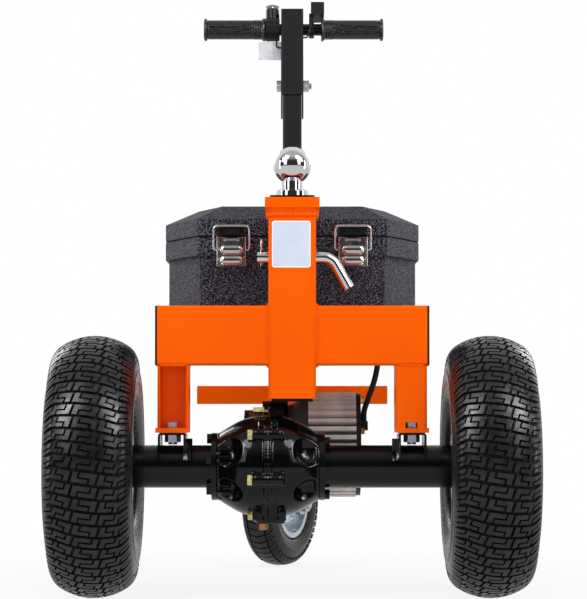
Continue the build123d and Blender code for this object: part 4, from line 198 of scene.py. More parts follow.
def edit(obj):
    """Opens an object in edit mode."""
    make_active(obj)
    bpy.ops.object.mode_set(mode="EDIT")


def close_edit(obj):
    """Leaves edit mode."""
    bpy.ops.object.mode_set(mode="OBJECT")
    return obj


def pick_all():
    """Selects the whole edited mesh."""
    bpy.ops.mesh.select_all(action="SELECT")


def pick(obj, kind, wanted):
    """Selects just the "faces" or "edges" that the test accepts."""
    bpy.context.tool_settings.mesh_select_mode = (False, kind == "edges", kind == "faces")
    mesh = bmesh.from_edit_mesh(obj.data)
    elements = getattr(mesh, kind)
    for element in elements:
        element.select_set(False)
    mesh.select_flush(False)
    for element in elements:
        if wanted(element):
            element.select_set(True)
    bmesh.update_edit_mesh(obj.data)


def edge_middle(edge):
    """The point halfway along an edge."""
    return (edge.verts[0].co + edge.verts[1].co) / 2


def runs_along(edge, axis):
    """Whether an edge runs along this axis, or nearly so."""
    along = edge.verts[1].co - edge.verts[0].co
    return abs(along[axis]) > 0.9 * along.length


def face_outwards():
    """Turns all faces of the edited mesh outwards."""
    pick_all()
    bpy.ops.mesh.normals_make_consistent(inside=False)


def tidy_mesh(obj, distance=0.00002):
    """Merges doubles and turns all faces outwards."""
    edit(obj)
    pick_all()
    bpy.ops.mesh.remove_doubles(threshold=distance)
    face_outwards()
    return close_edit(obj)


def settle(obj):
    """Puts the object's place and turn into its mesh."""
    make_active(obj)
    bpy.ops.object.transform_apply(location=True, rotation=True, scale=True)
    return obj


def named(name):
    """Names the object that was just added."""
    obj = bpy.context.object
    obj.name = name
    obj.data.name = name
    return obj


def put(obj, location, scale=(1, 1, 1)):
    """Scales and moves an object, and takes that and its turn into its mesh."""
    obj.scale = scale
    obj.location = location
    return settle(obj)


def start_box(name, low, high):
    """A box between two corners, as a start."""
    start_clean()
    low = Vector(low)
    high = Vector(high)
    bpy.ops.mesh.primitive_cube_add(size=1)
    return put(named(name), (low + high) / 2, high - low)


def start_rod(name, sides, radius, span, centre):
    """A round bar along the X axis, as a start."""
    start_clean()
    bpy.ops.mesh.primitive_cylinder_add(vertices=sides, radius=radius, depth=span,
                                        location=centre, rotation=(0, QUARTER, 0))
    return settle(named(name))


def stations(x, radius, offsets):
    """Stations of a profile as (x, radius), from offsets in millimetres."""
    return [(x + along * MM, radius + out * MM) for along, out in offsets]


def pull_through(profile, side=1):
    """Pulls the selected ring through the stations, the first being where it stands."""
    for (x, radius), (next_x, next_radius) in zip(profile, profile[1:]):
        shift = side * (next_x - x)
        factor = next_radius / radius
        bpy.ops.mesh.extrude_edges_move(TRANSFORM_OT_translate={"value": (shift, 0, 0)})
        bpy.ops.transform.resize(value=(1, factor, factor), center_override=(0, 0, 0))


def turned(name, sides, profile):
    """A closed solid turned about the X axis through (x, radius) stations."""
    start_clean()
    bpy.ops.mesh.primitive_circle_add(vertices=sides, radius=profile[0][1], fill_type="NOTHING",
                                      location=(profile[0][0], 0, 0), rotation=(0, QUARTER, 0))
    obj = settle(named(name))
    edit(obj)
    pick_all()
    bpy.ops.mesh.edge_face_add()
    pick(obj, "edges", lambda edge: True)
    pull_through(profile)
    bpy.ops.mesh.edge_face_add()
    face_outwards()
    return close_edit(obj)


def smooth(obj, degrees=40):
    """Smooth shading with sharp edges kept."""
    make_active(obj)
    bpy.ops.object.shade_smooth_by_angle(angle=math.radians(degrees))
    return obj


def apply_modifier(obj, kind, **values):
    """Adds a modifier with these values and applies it."""
    make_active(obj)
    modifier = obj.modifiers.new(kind.title(), kind)
    for name, value in values.items():
        setattr(modifier, name, value)
    bpy.ops.object.modifier_apply(modifier=modifier.name)
    return obj


def bevel_edges(obj, width, segments=2):
    """Rounds the sharp edges."""
    return apply_modifier(obj, "BEVEL", width=width, segments=segments, limit_method="ANGLE",
                          angle_limit=math.radians(30), use_clamp_overlap=True,
                          miter_outer="MITER_ARC")


def flatten_shading(obj):
    """Lets the large flat faces, not the small rounded ones, set the shading normals."""
    return apply_modifier(obj, "WEIGHTED_NORMAL", weight=100, keep_sharp=True)


def cut(obj, cutters):
    """Takes the cutters out of the piece, and removes them."""
    for cutter in cutters:
        apply_modifier(obj, "BOOLEAN", operation="DIFFERENCE", solver="EXACT", object=cutter)
        bpy.data.objects.remove(cutter, do_unlink=True)
    return obj


def copy_of(obj, name):
    """A copy with its own mesh."""
    twin = obj.copy()
    twin.data = obj.data.copy()
    twin.name = name
    twin.data.name = name
    bpy.context.scene.collection.objects.link(twin)
    return twin


def rounded_copy(node, name, width, segments=2):
    """A merged copy of a CAD node with its sharp edges rounded, which stands for the node."""
    piece = tidy_mesh(copy_of(frame["nodes"][node], name))
    bevel_edges(piece, width, segments)
    return flatten_shading(smooth(piece))


def joined(name, pieces):
    """Several finished pieces as one."""
    start_clean()
    for piece in pieces:
        piece.select_set(True)
    bpy.context.view_layer.objects.active = pieces[0]
    bpy.ops.object.join()
    return named(name)


def middle(node):
    """The middle of a CAD node's box."""
    low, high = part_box(node)
    return (low + high) / 2


def dress(obj, finish, body):
    """Gives a new piece its body and, unless it has one already, its finish."""
    if not obj.data.materials:
        obj.data.materials.append(Finish.made[finish])
    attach(obj, body)
    return obj


# Finishes


def connect(tree, value, socket):
    """Links an output to a socket, or gives the socket a plain value."""
    if isinstance(value, bpy.types.NodeSocket):
        tree.links.new(value, socket)
    else:
        socket.default_value = value


def add_node(tree, kind, inputs, output=0, **values):
    """Adds a shader node with these values and inputs, and returns one of its outputs."""
    node = tree.nodes.new("ShaderNode" + kind)
    for name, value in values.items():
        setattr(node, name, value)
    for socket, value in inputs.items():
        connect(tree, value, node.inputs[socket])
    return node.outputs[output] if node.outputs else None


def math_node(tree, operation, first, second):
    """What a calculation with two values gives."""
    return add_node(tree, "Math", {0: first, 1: second}, operation=operation)


def mix_shaders(tree, share, first, second):
    """Two shaders mixed, the second by this share."""
    return add_node(tree, "MixShader", {0: share, 1: first, 2: second})


class Finish:
    """A material whose pattern nodes read the object's own coordinates."""

    made = {}

    def __init__(self, name, roughness, metallic=0.0, **sockets):
        material = bpy.data.materials.new(name)
        material.use_nodes = True
        self.tree = material.node_tree
        self.shader = self.tree.nodes["Principled BSDF"]
        for socket, value in {"Roughness": roughness, "Metallic": metallic, **sockets}.items():
            self.shader.inputs[socket.replace("_", " ")].default_value = value
        self.place = add_node(self.tree, "TexCoord", {}, "Object")
        self.normal = None
        Finish.made[name] = material

    def stretched(self, scale):
        """The object's coordinates, stretched."""
        return add_node(self.tree, "Mapping", {"Vector": self.place, "Scale": scale})

    def noise(self, scale, detail=3.0, place=None):
        """Cloudy noise, so many waves a metre."""
        inputs = {"Vector": place or self.place, "Scale": scale, "Detail": detail}
        return add_node(self.tree, "TexNoise", inputs)

    def cells(self, scale):
        """Soft distance within random cells, so many a metre."""
        inputs = {"Vector": self.place, "Scale": scale}
        return add_node(self.tree, "TexVoronoi", inputs, "Distance", feature="SMOOTH_F1")

    def bands(self, scale, distortion):
        """Wavering bands along the X axis."""
        inputs = {"Vector": self.place, "Scale": scale, "Distortion": distortion}
        return add_node(self.tree, "TexWave", inputs, "Fac", bands_direction="X")

    def spread(self, pattern, low, high, to_low=0.0, to_high=1.0):
        """The pattern's range from low to high, laid over another range."""
        inputs = {"Value": pattern, "From Min": low, "From Max": high,
                  "To Min": to_low, "To Max": to_high}
        return add_node(self.tree, "MapRange", inputs)

    def paint(self, output):
        """Makes this the surface's colour."""
        connect(self.tree, output, self.shader.inputs["Base Color"])
        return output

    def tint(self, pattern, first, second, low=0.35, high=0.65):
        """Colours the surface from first to second over the pattern."""
        output = add_node(self.tree, "ValToRGB", {"Fac": pattern})
        for index, (place, tone) in enumerate(((low, first), (high, second))):
            element = output.node.color_ramp.elements[index]
            element.position = place
            element.color = (*tone, 1)
        return self.paint(output)

    def roughen(self, pattern, smoothest, roughest):
        """Lets the roughness follow the pattern."""
        value = self.spread(pattern, 0.3, 0.7, smoothest, roughest)
        connect(self.tree, value, self.shader.inputs["Roughness"])

    def relief(self, pattern, strength, depth):
        """Adds a bump of this depth in metres."""
        inputs = {"Height": pattern, "Strength": strength, "Distance": depth}
        if self.normal:
            inputs["Normal"] = self.normal
        self.normal = add_node(self.tree, "Bump", inputs)
        connect(self.tree, self.normal, self.shader.inputs["Normal"])


def shaded(tone, factor):
    """A colour made darker or lighter."""
    return tuple(min(1.0, channel * factor) for channel in tone)


def layered(name, base, roughness, tint, rough, bump, metallic=0.0, stretch=None, **sockets):
    """A finish of three noise patterns, each given as (scale, detail, first, second).

    tint runs between two shares of the base colour and rough between two shares of the
    roughness; bump has a strength and a depth. stretch draws out the first two patterns.
    """
    finish = Finish(name, roughness, metallic, **sockets)
    place = finish.stretched(stretch) if stretch else None
    scale, detail, first, second, *span = tint
    cloud = finish.noise(scale, detail, place)
    finish.tint(cloud, shaded(base, first), shaded(base, second), *span)
    scale, detail, smoothest, roughest = rough
    cloud = finish.noise(scale, detail, place)
    finish.roughen(cloud, roughness * smoothest, roughness * roughest)
    scale, detail, strength, depth = bump
    finish.relief(finish.noise(scale, detail), strength, depth)
    return finish


def powder_coat(name, paint, roughness, coat):
    """Baked powder coat: even colour, faint orange peel, a clear gloss over it."""
    layered(name, paint, roughness, (7.0, 3.0, 0.955, 1.03), (55.0, 3.0, 0.85, 1.2),
            (620.0, 1.0, 0.16, 0.00025),
            Coat_Weight=coat, Coat_Roughness=0.09, Specular_IOR_Level=0.0)


def cast_paint(name, paint):
    """Gloss paint over a sand casting."""
    finish = layered(name, paint, 0.16, (30.0, 3.0, 0.8, 1.35), (70.0, 3.0, 0.625, 1.375),
                     (240.0, 3.0, 0.14, 0.0003),
                     Coat_Weight=0.42, Coat_Roughness=0.05, Specular_IOR_Level=0.1)
    finish.relief(finish.noise(34.0, 1.0), 0.12, 0.0012)


def satin_paint(name, paint, roughness, gloss=0.25):
    """Satin paint on rolled steel."""
    layered(name, paint, roughness, (11.0, 3.0, 0.85, 1.2), (90.0, 3.0, 0.8, 1.25),
            (700.0, 2.0, 0.2, 0.0002), Specular_IOR_Level=gloss)


def moulded(name, plastic, roughness):
    """Moulded plastic with a fine spark-eroded skin."""
    layered(name, plastic, roughness, (24.0, 3.0, 0.86, 1.16), (300.0, 3.0, 0.85, 1.15),
            (1500.0, 2.0, 0.3, 0.00012), Specular_IOR_Level=0.3)


def pebbled(name, plastic):
    """Moulded plastic with a coarse pebble grain, its tops painted light as glints and its hollows painted dark as
    shade.
    """
    finish = Finish(name, 0.4, Specular_IOR_Level=0.05)
    # One noise both raises the grain and paints it: light on its tops as painted glints, dark between them as
    # painted shade
    painted_glints = finish.noise(610.0, 2.0)
    finish.tint(painted_glints, shaded(plastic, 0.25), shaded(plastic, 12.0), 0.48, 0.74)
    finish.roughen(finish.noise(300.0), 0.34, 0.6)
    finish.relief(finish.cells(520.0), 0.8, 0.0014)
    finish.relief(painted_glints, 0.9, 0.0016)


def rubber(name, base, roughness, dust=1.35, gloss=0.3, grain=0.35):
    """Vulcanised rubber with a faint bloom."""
    layered(name, base, roughness, (90.0, 5.0, 0.6, dust, 0.3, 0.7), (160.0, 3.0, 0.7, 1.3),
            (900.0, 3.0, grain, 0.00022), Specular_IOR_Level=gloss)


def plated(name, metal, roughness, wear=0.1):
    """Polished or plated metal with faint wiping marks."""
    layered(name, metal, roughness, (60.0, 4.0, 1 - wear, 1.0), (140.0, 4.0, 0.7, 1.5),
            (500.0, 2.0, 0.02, 0.0001), 1.0, (1.0, 1.0, 0.18))


def machined(name, metal, roughness):
    """Turned steel with fine tool marks."""
    finish = Finish(name, roughness, 1.0)
    finish.tint(finish.noise(80.0), shaded(metal, 0.82), metal)
    finish.roughen(finish.noise(200.0), roughness * 0.75, roughness * 1.3)
    finish.relief(finish.bands(1500.0, 1.5), 0.1, 0.00008)


def galvanised(name, metal, roughness):
    """Zinc plate with soft mottling."""
    finish = Finish(name, roughness, 0.9)
    finish.tint(finish.cells(70.0), shaded(metal, 1.08), shaded(metal, 0.84), 0.1, 0.8)
    finish.roughen(finish.noise(65.0, 4.0), roughness * 0.7, roughness * 1.35)
    finish.relief(finish.noise(330.0), 0.12, 0.0003)


def die_cast(name, metal):
    """Cast aluminium, matt and slightly stained."""
    finish = Finish(name, 0.4, 0.4)
    stains = finish.noise(38.0, 5.0, finish.stretched((1.0, 0.4, 0.4)))
    finish.tint(stains, shaded(metal, 0.78), shaded(metal, 1.05), 0.3, 0.66)
    finish.roughen(finish.noise(120.0, 4.0), 0.34, 0.52)
    finish.relief(finish.noise(480.0), 0.22, 0.0003)


def screw_plating():
    """Yellow zinc on the screws, copper on the drain plug below them."""
    finish = Finish("brass", 0.26, 1.0)
    plug_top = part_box("housing_screws")[0].z + 8.5 * MM
    height = add_node(finish.tree, "SeparateXYZ", {0: finish.place}, "Z")
    share = finish.spread(height, plug_top, plug_top + 0.4 * MM)
    yellow = finish.tint(finish.noise(150.0), srgb(205, 190, 118), srgb(232, 222, 160))
    inputs = {"Factor": share, 6: (*srgb(214, 148, 112), 1), 7: yellow}
    finish.paint(add_node(finish.tree, "Mix", inputs, 2, data_type="RGBA"))
    finish.roughen(finish.noise(300.0), 0.2, 0.36)
    finish.relief(finish.noise(700.0), 0.1, 0.0001)


def blank_paper():
    """Uncoated card of the hang tag."""
    finish = Finish("tag_paper", 0.75)
    finish.tint(finish.noise(180.0, 4.0), srgb(208, 205, 213), srgb(228, 226, 232))
    finish.relief(finish.noise(1300.0), 0.2, 0.0001)


def blank_label(face):
    """Laminated film of the blank plate, and its white border."""
    film = Finish("label_film", 0.3, Coat_Weight=0.3, Coat_Roughness=0.15)
    film.tint(film.noise(35.0), shaded(face, 0.97), shaded(face, 1.02))
    film.relief(film.noise(240.0), 0.06, 0.0002)
    border = Finish("label_border", 0.35)
    border.tint(border.noise(60.0), srgb(233, 236, 241), srgb(244, 246, 250))


def make_finishes(settings):
    """Every finish of the dolly, by the name of its slot or of its piece."""
    box_plastic = tuple(settings.box_plastic)
    tyre_rubber = tuple(settings.tyre_rubber)
    powder_coat("orange_paint", tuple(settings.frame_paint), 0.34, 0.22)
    powder_coat("handle_paint", tuple(settings.handle_paint), 0.46, 0.12)
    satin_paint("black_paint", tuple(settings.tube_paint), 0.17, 0.28)
    satin_paint("black_plate", srgb(30, 30, 32), 0.4)
    satin_paint("black_keeper", srgb(14, 14, 17), 0.3, 0.35)
    satin_paint("wheel_paint", srgb(14, 14, 15), 0.26, 0.35)
    satin_paint("bell_paint", srgb(62, 60, 62), 0.36)
    # A dull grey for the floors between the motor's fins: painted shade in the gaps
    satin_paint("fin_gap", srgb(58, 54, 54), 0.5)
    cast_paint("gloss_black_paint", tuple(settings.casting_paint))
    moulded("black_plastic", srgb(16, 16, 18), 0.36)
    moulded("rocker_plastic", srgb(14, 14, 16), 0.3)
    # A much darker plastic for the parting groove's faces: painted shade where the groove is shaded
    moulded("box_groove", shaded(box_plastic, 0.2), 0.7)
    pebbled("box_plastic", box_plastic)
    rubber("tyre_rubber", tyre_rubber, 0.27, 2.6, 0.4)
    # Much darker rubber for the tread's groove floors: painted shade in the grooves
    rubber("tyre_grooves", shaded(tyre_rubber, 0.25), 0.7)
    rubber("grip_rubber", tuple(settings.grip_rubber), 0.34, 1.2, 0.6, 0.06)
    rubber("cable_rubber", srgb(26, 26, 28), 0.5, 1.2)
    plated("chrome", (0.8, 0.8, 0.82), 0.06, 0.08)
    plated("nickel", (0.66, 0.64, 0.63), 0.14)
    plated("steel", (0.62, 0.64, 0.67), 0.24)
    machined("machined_steel", (0.58, 0.58, 0.6), 0.3)
    galvanised("zinc_bolt", srgb(214, 222, 232), 0.26)
    galvanised("zinc_fork", (0.66, 0.69, 0.72), 0.28)
    galvanised("zinc_rim", srgb(206, 217, 226), 0.3)
    die_cast("aluminium", tuple(settings.motor_metal))
    die_cast("cast_cover", srgb(150, 150, 154))
    screw_plating()
    blank_paper()
    blank_label(tuple(bpy.context.scene.dolly_label.face))


PAINTED_OTHERWISE = {
    "handle_upper_tube": "handle_paint",
    "handle_lower_tube": "handle_paint",
    "drive_rim_left": "wheel_paint",
    "drive_rim_right": "wheel_paint",
    "flange_bolts": "gloss_black_paint",
    "gear_case": "gloss_black_paint",
    "motor_bell": "bell_paint",
    "saddle_bolts": "zinc_bolt",
}


class DOLLY_OT_finishes(bpy.types.Operator):
    """Give every solid part its paint, plating, plastic or rubber"""
    bl_idname = "dolly.finishes"
    bl_label = "Finishes"

    def execute(self, context):
        make_finishes(context.scene.dolly_finish)
        for subpart in frame["record"]["subparts"]:
            name = subpart["node"]
            part = frame["nodes"][name]
            part.data.materials.clear()
            finish = PAINTED_OTHERWISE.get(name, subpart["material_slot"])
            part.data.materials.append(Finish.made[finish])
            smooth(part, 62 if name.startswith("latch_bail") else 32)
        start_clean()
        return {"FINISHED"}


# Tyres


class Tread:
    """The curved face of a tyre: its section across, its rows round, its grooves."""

    def __init__(self, half_width, radius, crown_radius, crown_half, shoulder_radius, depth):
        self.half_width = half_width
        self.radius = radius
        self.crown_radius = crown_radius
        self.crown_half = crown_half
        self.shoulder_radius = shoulder_radius
        self.depth = depth

    def place(self, across, around, height):
        """Where a point of the flat tread lies on a tyre about the X axis."""
        reach = abs(across)
        turn = min(reach, self.crown_half) / self.crown_radius
        x = self.crown_radius * math.sin(turn)
        drop = self.crown_radius * (1 - math.cos(turn))
        if reach > self.crown_half:
            start = turn
            turn += (reach - self.crown_half) / self.shoulder_radius
            x += self.shoulder_radius * (math.sin(turn) - math.sin(start))
            drop += self.shoulder_radius * (math.cos(start) - math.cos(turn))
        sunk = self.depth - height
        x = math.copysign(x - sunk * math.sin(turn), across)
        radius = self.radius - drop - sunk * math.cos(turn)
        angle = around / self.radius
        return Vector((x, -radius * math.cos(angle), radius * math.sin(angle)))

    def ring(self, name, pitch, repeats, lines, is_groove, shift):
        """A ring of tread: one repeat cut and raised flat, laid on the tyre, then spun round.

        lines says where the flat repeat is cut, first across the tyre and then around it.
        """
        start_clean()
        bpy.ops.mesh.primitive_plane_add(size=1)
        obj = put(named(name), (0, pitch / 2, 0), (2 * self.half_width, pitch, 1))
        edit(obj)
        for axis, places in enumerate(lines):
            for place in places:
                point = Vector((0, 0, 0))
                normal = Vector((0, 0, 0))
                point[axis] = place
                normal[axis] = 1
                pick_all()
                bpy.ops.mesh.bisect(plane_co=point, plane_no=normal)
        pick(obj, "faces", lambda face: not is_groove(*face.calc_center_median().xy))
        bpy.ops.mesh.extrude_region_move(TRANSFORM_OT_translate={"value": (0, 0, self.depth)})
        close_edit(obj)
        # The groove floors take the darker rubber as painted shade; the block tops and walls keep the tyre rubber
        for finish in ("tyre_rubber", "tyre_grooves"):
            obj.data.materials.append(Finish.made[finish])
        for polygon in obj.data.polygons:
            polygon.material_index = int(polygon.center.z < 0.01 * self.depth)
        for vertex in obj.data.vertices:
            across, around, height = vertex.co
            vertex.co = self.place(*shift(across, around), height)
        edit(obj)
        pick_all()
        spun = 2 * math.pi * (repeats - 1) / repeats
        bpy.ops.mesh.spin(steps=repeats - 1, dupli=True, angle=-spun,
                          center=(0, 0, 0), axis=(1, 0, 0))
        pick_all()
        bpy.ops.mesh.remove_doubles(threshold=0.03 * MM)
        return close_edit(obj)


def add_sidewalls(obj, tread, half, rim_radius, wall, bead):
    """Pulls both rims of a tread ring down the sidewalls and closes them under the tyre."""
    edge = tread.place(tread.half_width, 0, 0)
    profile = [(edge.x, -edge.y), *stations(half, tread.radius, wall),
               *stations(half, rim_radius, bead)]
    edit(obj)
    for side in (-1, 1):
        pick(obj, "edges", lambda edge: edge.is_boundary and edge_middle(edge).x * side > 0)
        pull_through(profile, side)
    mesh = bmesh.from_edit_mesh(obj.data)
    for face in mesh.faces:
        if abs(face.calc_center_median().x) > edge.x - 0.01 * MM:
            face.material_index = 0
    bmesh.update_edit_mesh(obj.data)
    pick(obj, "edges", lambda edge: edge.is_boundary)
    bpy.ops.mesh.bridge_edge_loops()
    face_outwards()
    close_edit(obj)
    return smooth(obj, 34)


def both_sides(values):
    """The values and their mirror images, in order."""
    return sorted({value * side for value in values for side in (-1, 1)})


def within(value, span):
    """Whether a value lies between the span's two ends."""
    return span[0] < value < span[1]


# The columns of stepped sipes across the drive tyre: middle and half width
SIPE_COLUMNS = ((-32.4 * MM, 5.7 * MM), (0.0, 7.3 * MM), (32.4 * MM, 5.7 * MM))

# Lines cut across the drive tyre, in millimetres, so that the tread can bend round
BEND_LINES = (0, 12, 22, 32.4, 42, 51, 56)


def turf_tread(settings, tyre_radius):
    """The drive tyre's tread: slanted rows of blocks, each cut in two by a stepped sipe."""
    row = 2 * math.pi * tyre_radius / (2 * settings.repeats)
    half_groove = settings.groove / 2
    half_sipe = settings.sipe / 2
    step = (row / 2 - 1.7 * MM, row / 2 + 0.6 * MM)
    gap_centre = 17.1 * MM
    gap = (gap_centre - settings.gap / 2, gap_centre + settings.gap / 2)
    shoulder = (44.4 * MM, 44.4 * MM + settings.sipe)
    prong_end = 61 * MM
    upright_from = 54 * MM
    upright_run = 8 * MM
    shoulder_rise = 0.3
    hair = 0.001 * MM

    def is_stepped(across, height, low_side):
        for centre, arm in SIPE_COLUMNS:
            offset = across - centre
            if within(height, step) and abs(offset) < arm + half_sipe:
                return True
            if abs(offset - low_side * arm) < half_sipe and height < step[1]:
                return True
            if abs(offset + low_side * arm) < half_sipe and step[0] < height:
                return True
        return False

    def is_groove(across, around):
        is_odd = around > row
        height = around - row if is_odd else around
        return (height < half_groove or height > row - half_groove
                or within(abs(across), gap)
                or within(height, step) and within(abs(across), (shoulder[0], prong_end))
                or within(across, shoulder) and height < step[1]
                or within(-across, shoulder) and height > step[0]
                or is_stepped(across, height, 1 if is_odd else -1))

    def lean(across, around):
        height = around % row if around < 2 * row - hair else row
        share = (height - half_groove) / (row - settings.groove)
        share = min(1.0, max(0.0, share)) - 0.5
        if height < hair or height > row - hair:
            share = 0.0
        fade = min(1.0, max(0.0, (upright_from - abs(across)) / upright_run))
        reach = min(abs(across), shoulder[0])
        fall = settings.sweep * reach - shoulder_rise * (abs(across) - reach)
        return across + settings.slant * share * fade, around - math.copysign(fall, across)

    across = {*gap, *shoulder, prong_end}
    across.update(place * MM for place in BEND_LINES)
    for centre, arm in SIPE_COLUMNS:
        for edge in (arm - half_sipe, arm + half_sipe):
            across.update((abs(centre + edge), abs(centre - edge)))
    heights = (half_groove, *step, row - half_groove, row)
    around = [start + height for start in (0.0, row) for height in heights][:-1]
    tread = Tread(half_width=65 * MM, radius=tyre_radius, crown_radius=settings.crown_radius,
                  crown_half=47 * MM, shoulder_radius=settings.shoulder_radius,
                  depth=settings.depth)
    ring = tread.ring("turf_tyre", 2 * row, settings.repeats, (both_sides(across), around),
                      is_groove, lean)
    return ring, tread


def wavy_tread(settings, tyre_radius):
    """The caster tyre's tread: one wavy cross groove a row, a fine cut on each shoulder."""
    row = 2 * math.pi * tyre_radius / settings.repeats
    cross = (settings.groove / 2, row - settings.groove / 2)
    fine = (row * 0.44, row * 0.56)
    gap = (12.5 * MM, 12.5 * MM + settings.groove)
    tread_end = 27.5 * MM
    fine_end = tread_end - 3 * MM
    shoulder_sweep = 0.55

    def is_groove(across, around):
        reach = abs(across)
        return (not cross[0] <= around <= cross[1]
                or within(reach, gap) or reach > tread_end
                or within(around, fine) and within(reach, (gap[1], fine_end)))

    def wave(across, around):
        reach = abs(across)
        dip = -settings.wave * max(0.0, 1 - reach / gap[0])
        return across, around + dip + max(0.0, reach - gap[1]) * shoulder_sweep

    across = both_sides({0.0, 6 * MM, *gap, 20 * MM, fine_end, tread_end})
    tread = Tread(half_width=30 * MM, radius=tyre_radius, crown_radius=52 * MM,
                  crown_half=17 * MM, shoulder_radius=15 * MM, depth=settings.depth)
    ring = tread.ring("caster_tread", row, settings.repeats,
                      (across, (cross[0], *fine, cross[1])), is_groove, wave)
    return ring, tread


# Sidewalls in millimetres: from the widest point and the tread, then from it and the rim
DRIVE_WALL = ((-3.4, -34), (-1.6, -42), (-0.9, -46), (-0.2, -46.6), (-0.2, -49), (-0.8, -49.6),
              (-0.4, -58), (-1.4, -68), (-4.2, -76))
DRIVE_BEAD = ((-8.5, 6.0), (-10.4, 4.4), (-10.6, 2.2), (-14.6, 0.9), (-14.6, -7.6))
CASTER_WALL = ((-1.6, -21), (-0.5, -25), (-1.2, -27), (-1.0, -31), (-2.6, -36))
CASTER_BEAD = ((-4.6, 3.6), (-5.4, 2.0), (-8.1, 0.7), (-8.1, -4.6))


class DOLLY_OT_drive_tyres(bpy.types.Operator):
    """Model one drive tyre with its turf tread and fit it on both sides"""
    bl_idname = "dolly.drive_tyres"
    bl_label = "Drive tyres"

    def execute(self, context):
        low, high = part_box("drive_tyre_left")
        radius = (high.z - low.z) / 2
        half = (high.x - low.x) / 2
        rim_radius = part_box("drive_rim_left")[1].z - middle("drive_rim_left").z
        tyre, tread = turf_tread(context.scene.dolly_tread, radius)
        add_sidewalls(tyre, tread, half, rim_radius, DRIVE_WALL, DRIVE_BEAD)
        twin = copy_of(tyre, "turf_tyre_right")
        tyre.name = "turf_tyre_left"
        for piece, side in zip((tyre, twin), SIDES):
            put(piece, middle("drive_tyre_" + side))
            dress(piece, "tyre_rubber", side + "_wheel")
            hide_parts("drive_tyre_" + side)
        return {"FINISHED"}


class DOLLY_OT_caster_tyre(bpy.types.Operator):
    """Model the caster's tyre with its wavy cross grooves"""
    bl_idname = "dolly.caster_tyre"
    bl_label = "Caster tyre"

    def execute(self, context):
        low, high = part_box("caster_tyre")
        rim_radius = middle("caster_rim").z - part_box("caster_rim")[0].z
        tyre, tread = wavy_tread(context.scene.dolly_caster_tread, (high.z - low.z) / 2)
        add_sidewalls(tyre, tread, 28 * MM, rim_radius, CASTER_WALL, CASTER_BEAD)
        joint = next(j for j in frame["joints"] if j["child"] == "caster_wheel")
        tyre.rotation_euler.z = math.atan2(joint["axis"][1], joint["axis"][0])
        put(tyre, joint["pos_m"])
        dress(tyre, "tyre_rubber", "caster_wheel")
        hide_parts("caster_tyre")
        return {"FINISHED"}


# Grips


SLEEVE_RADIUS = 15.5 * MM
SLEEVE_STATIONS = 74
GRIP_RINGS = 3
GRIP_SIDES = 112

# The pattern's long grooves, short ticks and peaks: angles round the grip, shares along it
LINE_ANGLES = (0.16, -0.42)
LINE_HALF_WIDTH = 0.075
LINE_START = 0.06
LINES_PART_AT = 0.42
LINES_PART_BY = 1.15
LINES_PART_POWER = 1.4
TICK_SPAN = (0.5, 0.76)
TICK_PLACES = (0.44, 0.475, 0.51, 0.545)
TICK_ANGLE = 0.62
TICK_SLANT = 0.06
TICK_HALF_WIDTH = 0.011
PEAKS = ((0.16, 0.52, 1), (0.14, -0.62, -1))
PEAK_SLOPE = 1.9
PEAK_LEG = 0.13
PEAK_HALF_WIDTH = 0.05
SHORT_DEPTH = 0.9


def groove_share(distance, half_width):
    """How deep a soft groove is at this distance from its middle line, from 0 to 1."""
    if distance >= half_width:
        return 0.0
    return 0.5 + 0.5 * math.cos(math.pi * distance / half_width)


def grip_pattern(share, angle):
    """Depth of the moulded pattern at a point of the grip's sleeve, from 0 to 1.

    share runs from the inner end to the outer, angle is 0 at the front and positive upwards.
    """
    depth = 0.0
    for line in LINE_ANGLES:
        if share < LINES_PART_AT:
            line += LINES_PART_BY * (LINES_PART_AT - share) ** LINES_PART_POWER
        fade = min(1.0, share / LINE_START)
        depth = max(depth, fade * groove_share(abs(angle - line), LINE_HALF_WIDTH))
    if within(angle, TICK_SPAN):
        for place in TICK_PLACES:
            distance = abs(share - place - TICK_SLANT * (angle - TICK_ANGLE))
            depth = max(depth, SHORT_DEPTH * groove_share(distance, TICK_HALF_WIDTH))
    for peak_share, peak_angle, way in PEAKS:
        leg = abs(share - peak_share)
        line = peak_angle - way * PEAK_SLOPE * leg
        if leg < PEAK_LEG:
            depth = max(depth, SHORT_DEPTH * groove_share(abs(angle - line), PEAK_HALF_WIDTH))
    return depth


def grip_profile(span, flange, ring_top, body):
    """Stations of a grip: bore, flare, rings, sleeve from body[0] to body[1], end flange."""
    sleeve = SLEEVE_RADIUS
    first_ring = 8 * MM
    ring_pitch = (body[0] - first_ring) / GRIP_RINGS
    profile = stations(span, 0.0, [(-2.0, 9.7)]) + stations(0.0, 0.0, [(0.0, 9.7)])
    profile += stations(0.0, 19.0 * MM, [(0.0, -1.2), (0.8, 0), (2.6, 0), (4.4, -1.6)])
    profile += stations(0.0, sleeve, [(6.6, 0.4)])
    for index in range(GRIP_RINGS):
        start = first_ring + index * ring_pitch
        end = start + ring_pitch
        profile += stations(start, sleeve, [(0, -0.6)])
        profile += stations(start, ring_top, [(0.5, -0.2), (1.1, 0)])
        profile += stations(end, ring_top, [(-1.6, 0), (-1.0, -0.2)])
        profile += stations(end, sleeve, [(-0.5, -0.6)])
    for index in range(SLEEVE_STATIONS + 1):
        profile.append((body[0] + (body[1] - body[0]) * index / SLEEVE_STATIONS, sleeve))
    profile += stations(body[1], sleeve, [(0.8, -0.5)]) + stations(span, sleeve, [(-6.0, -0.7)])
    profile += stations(span, flange, [(-5.2, -1.2), (-4.4, -0.2), (-3.2, 0), (-1.6, -0.3),
                                       (-0.5, -1.3), (0, -3.2)])
    return profile


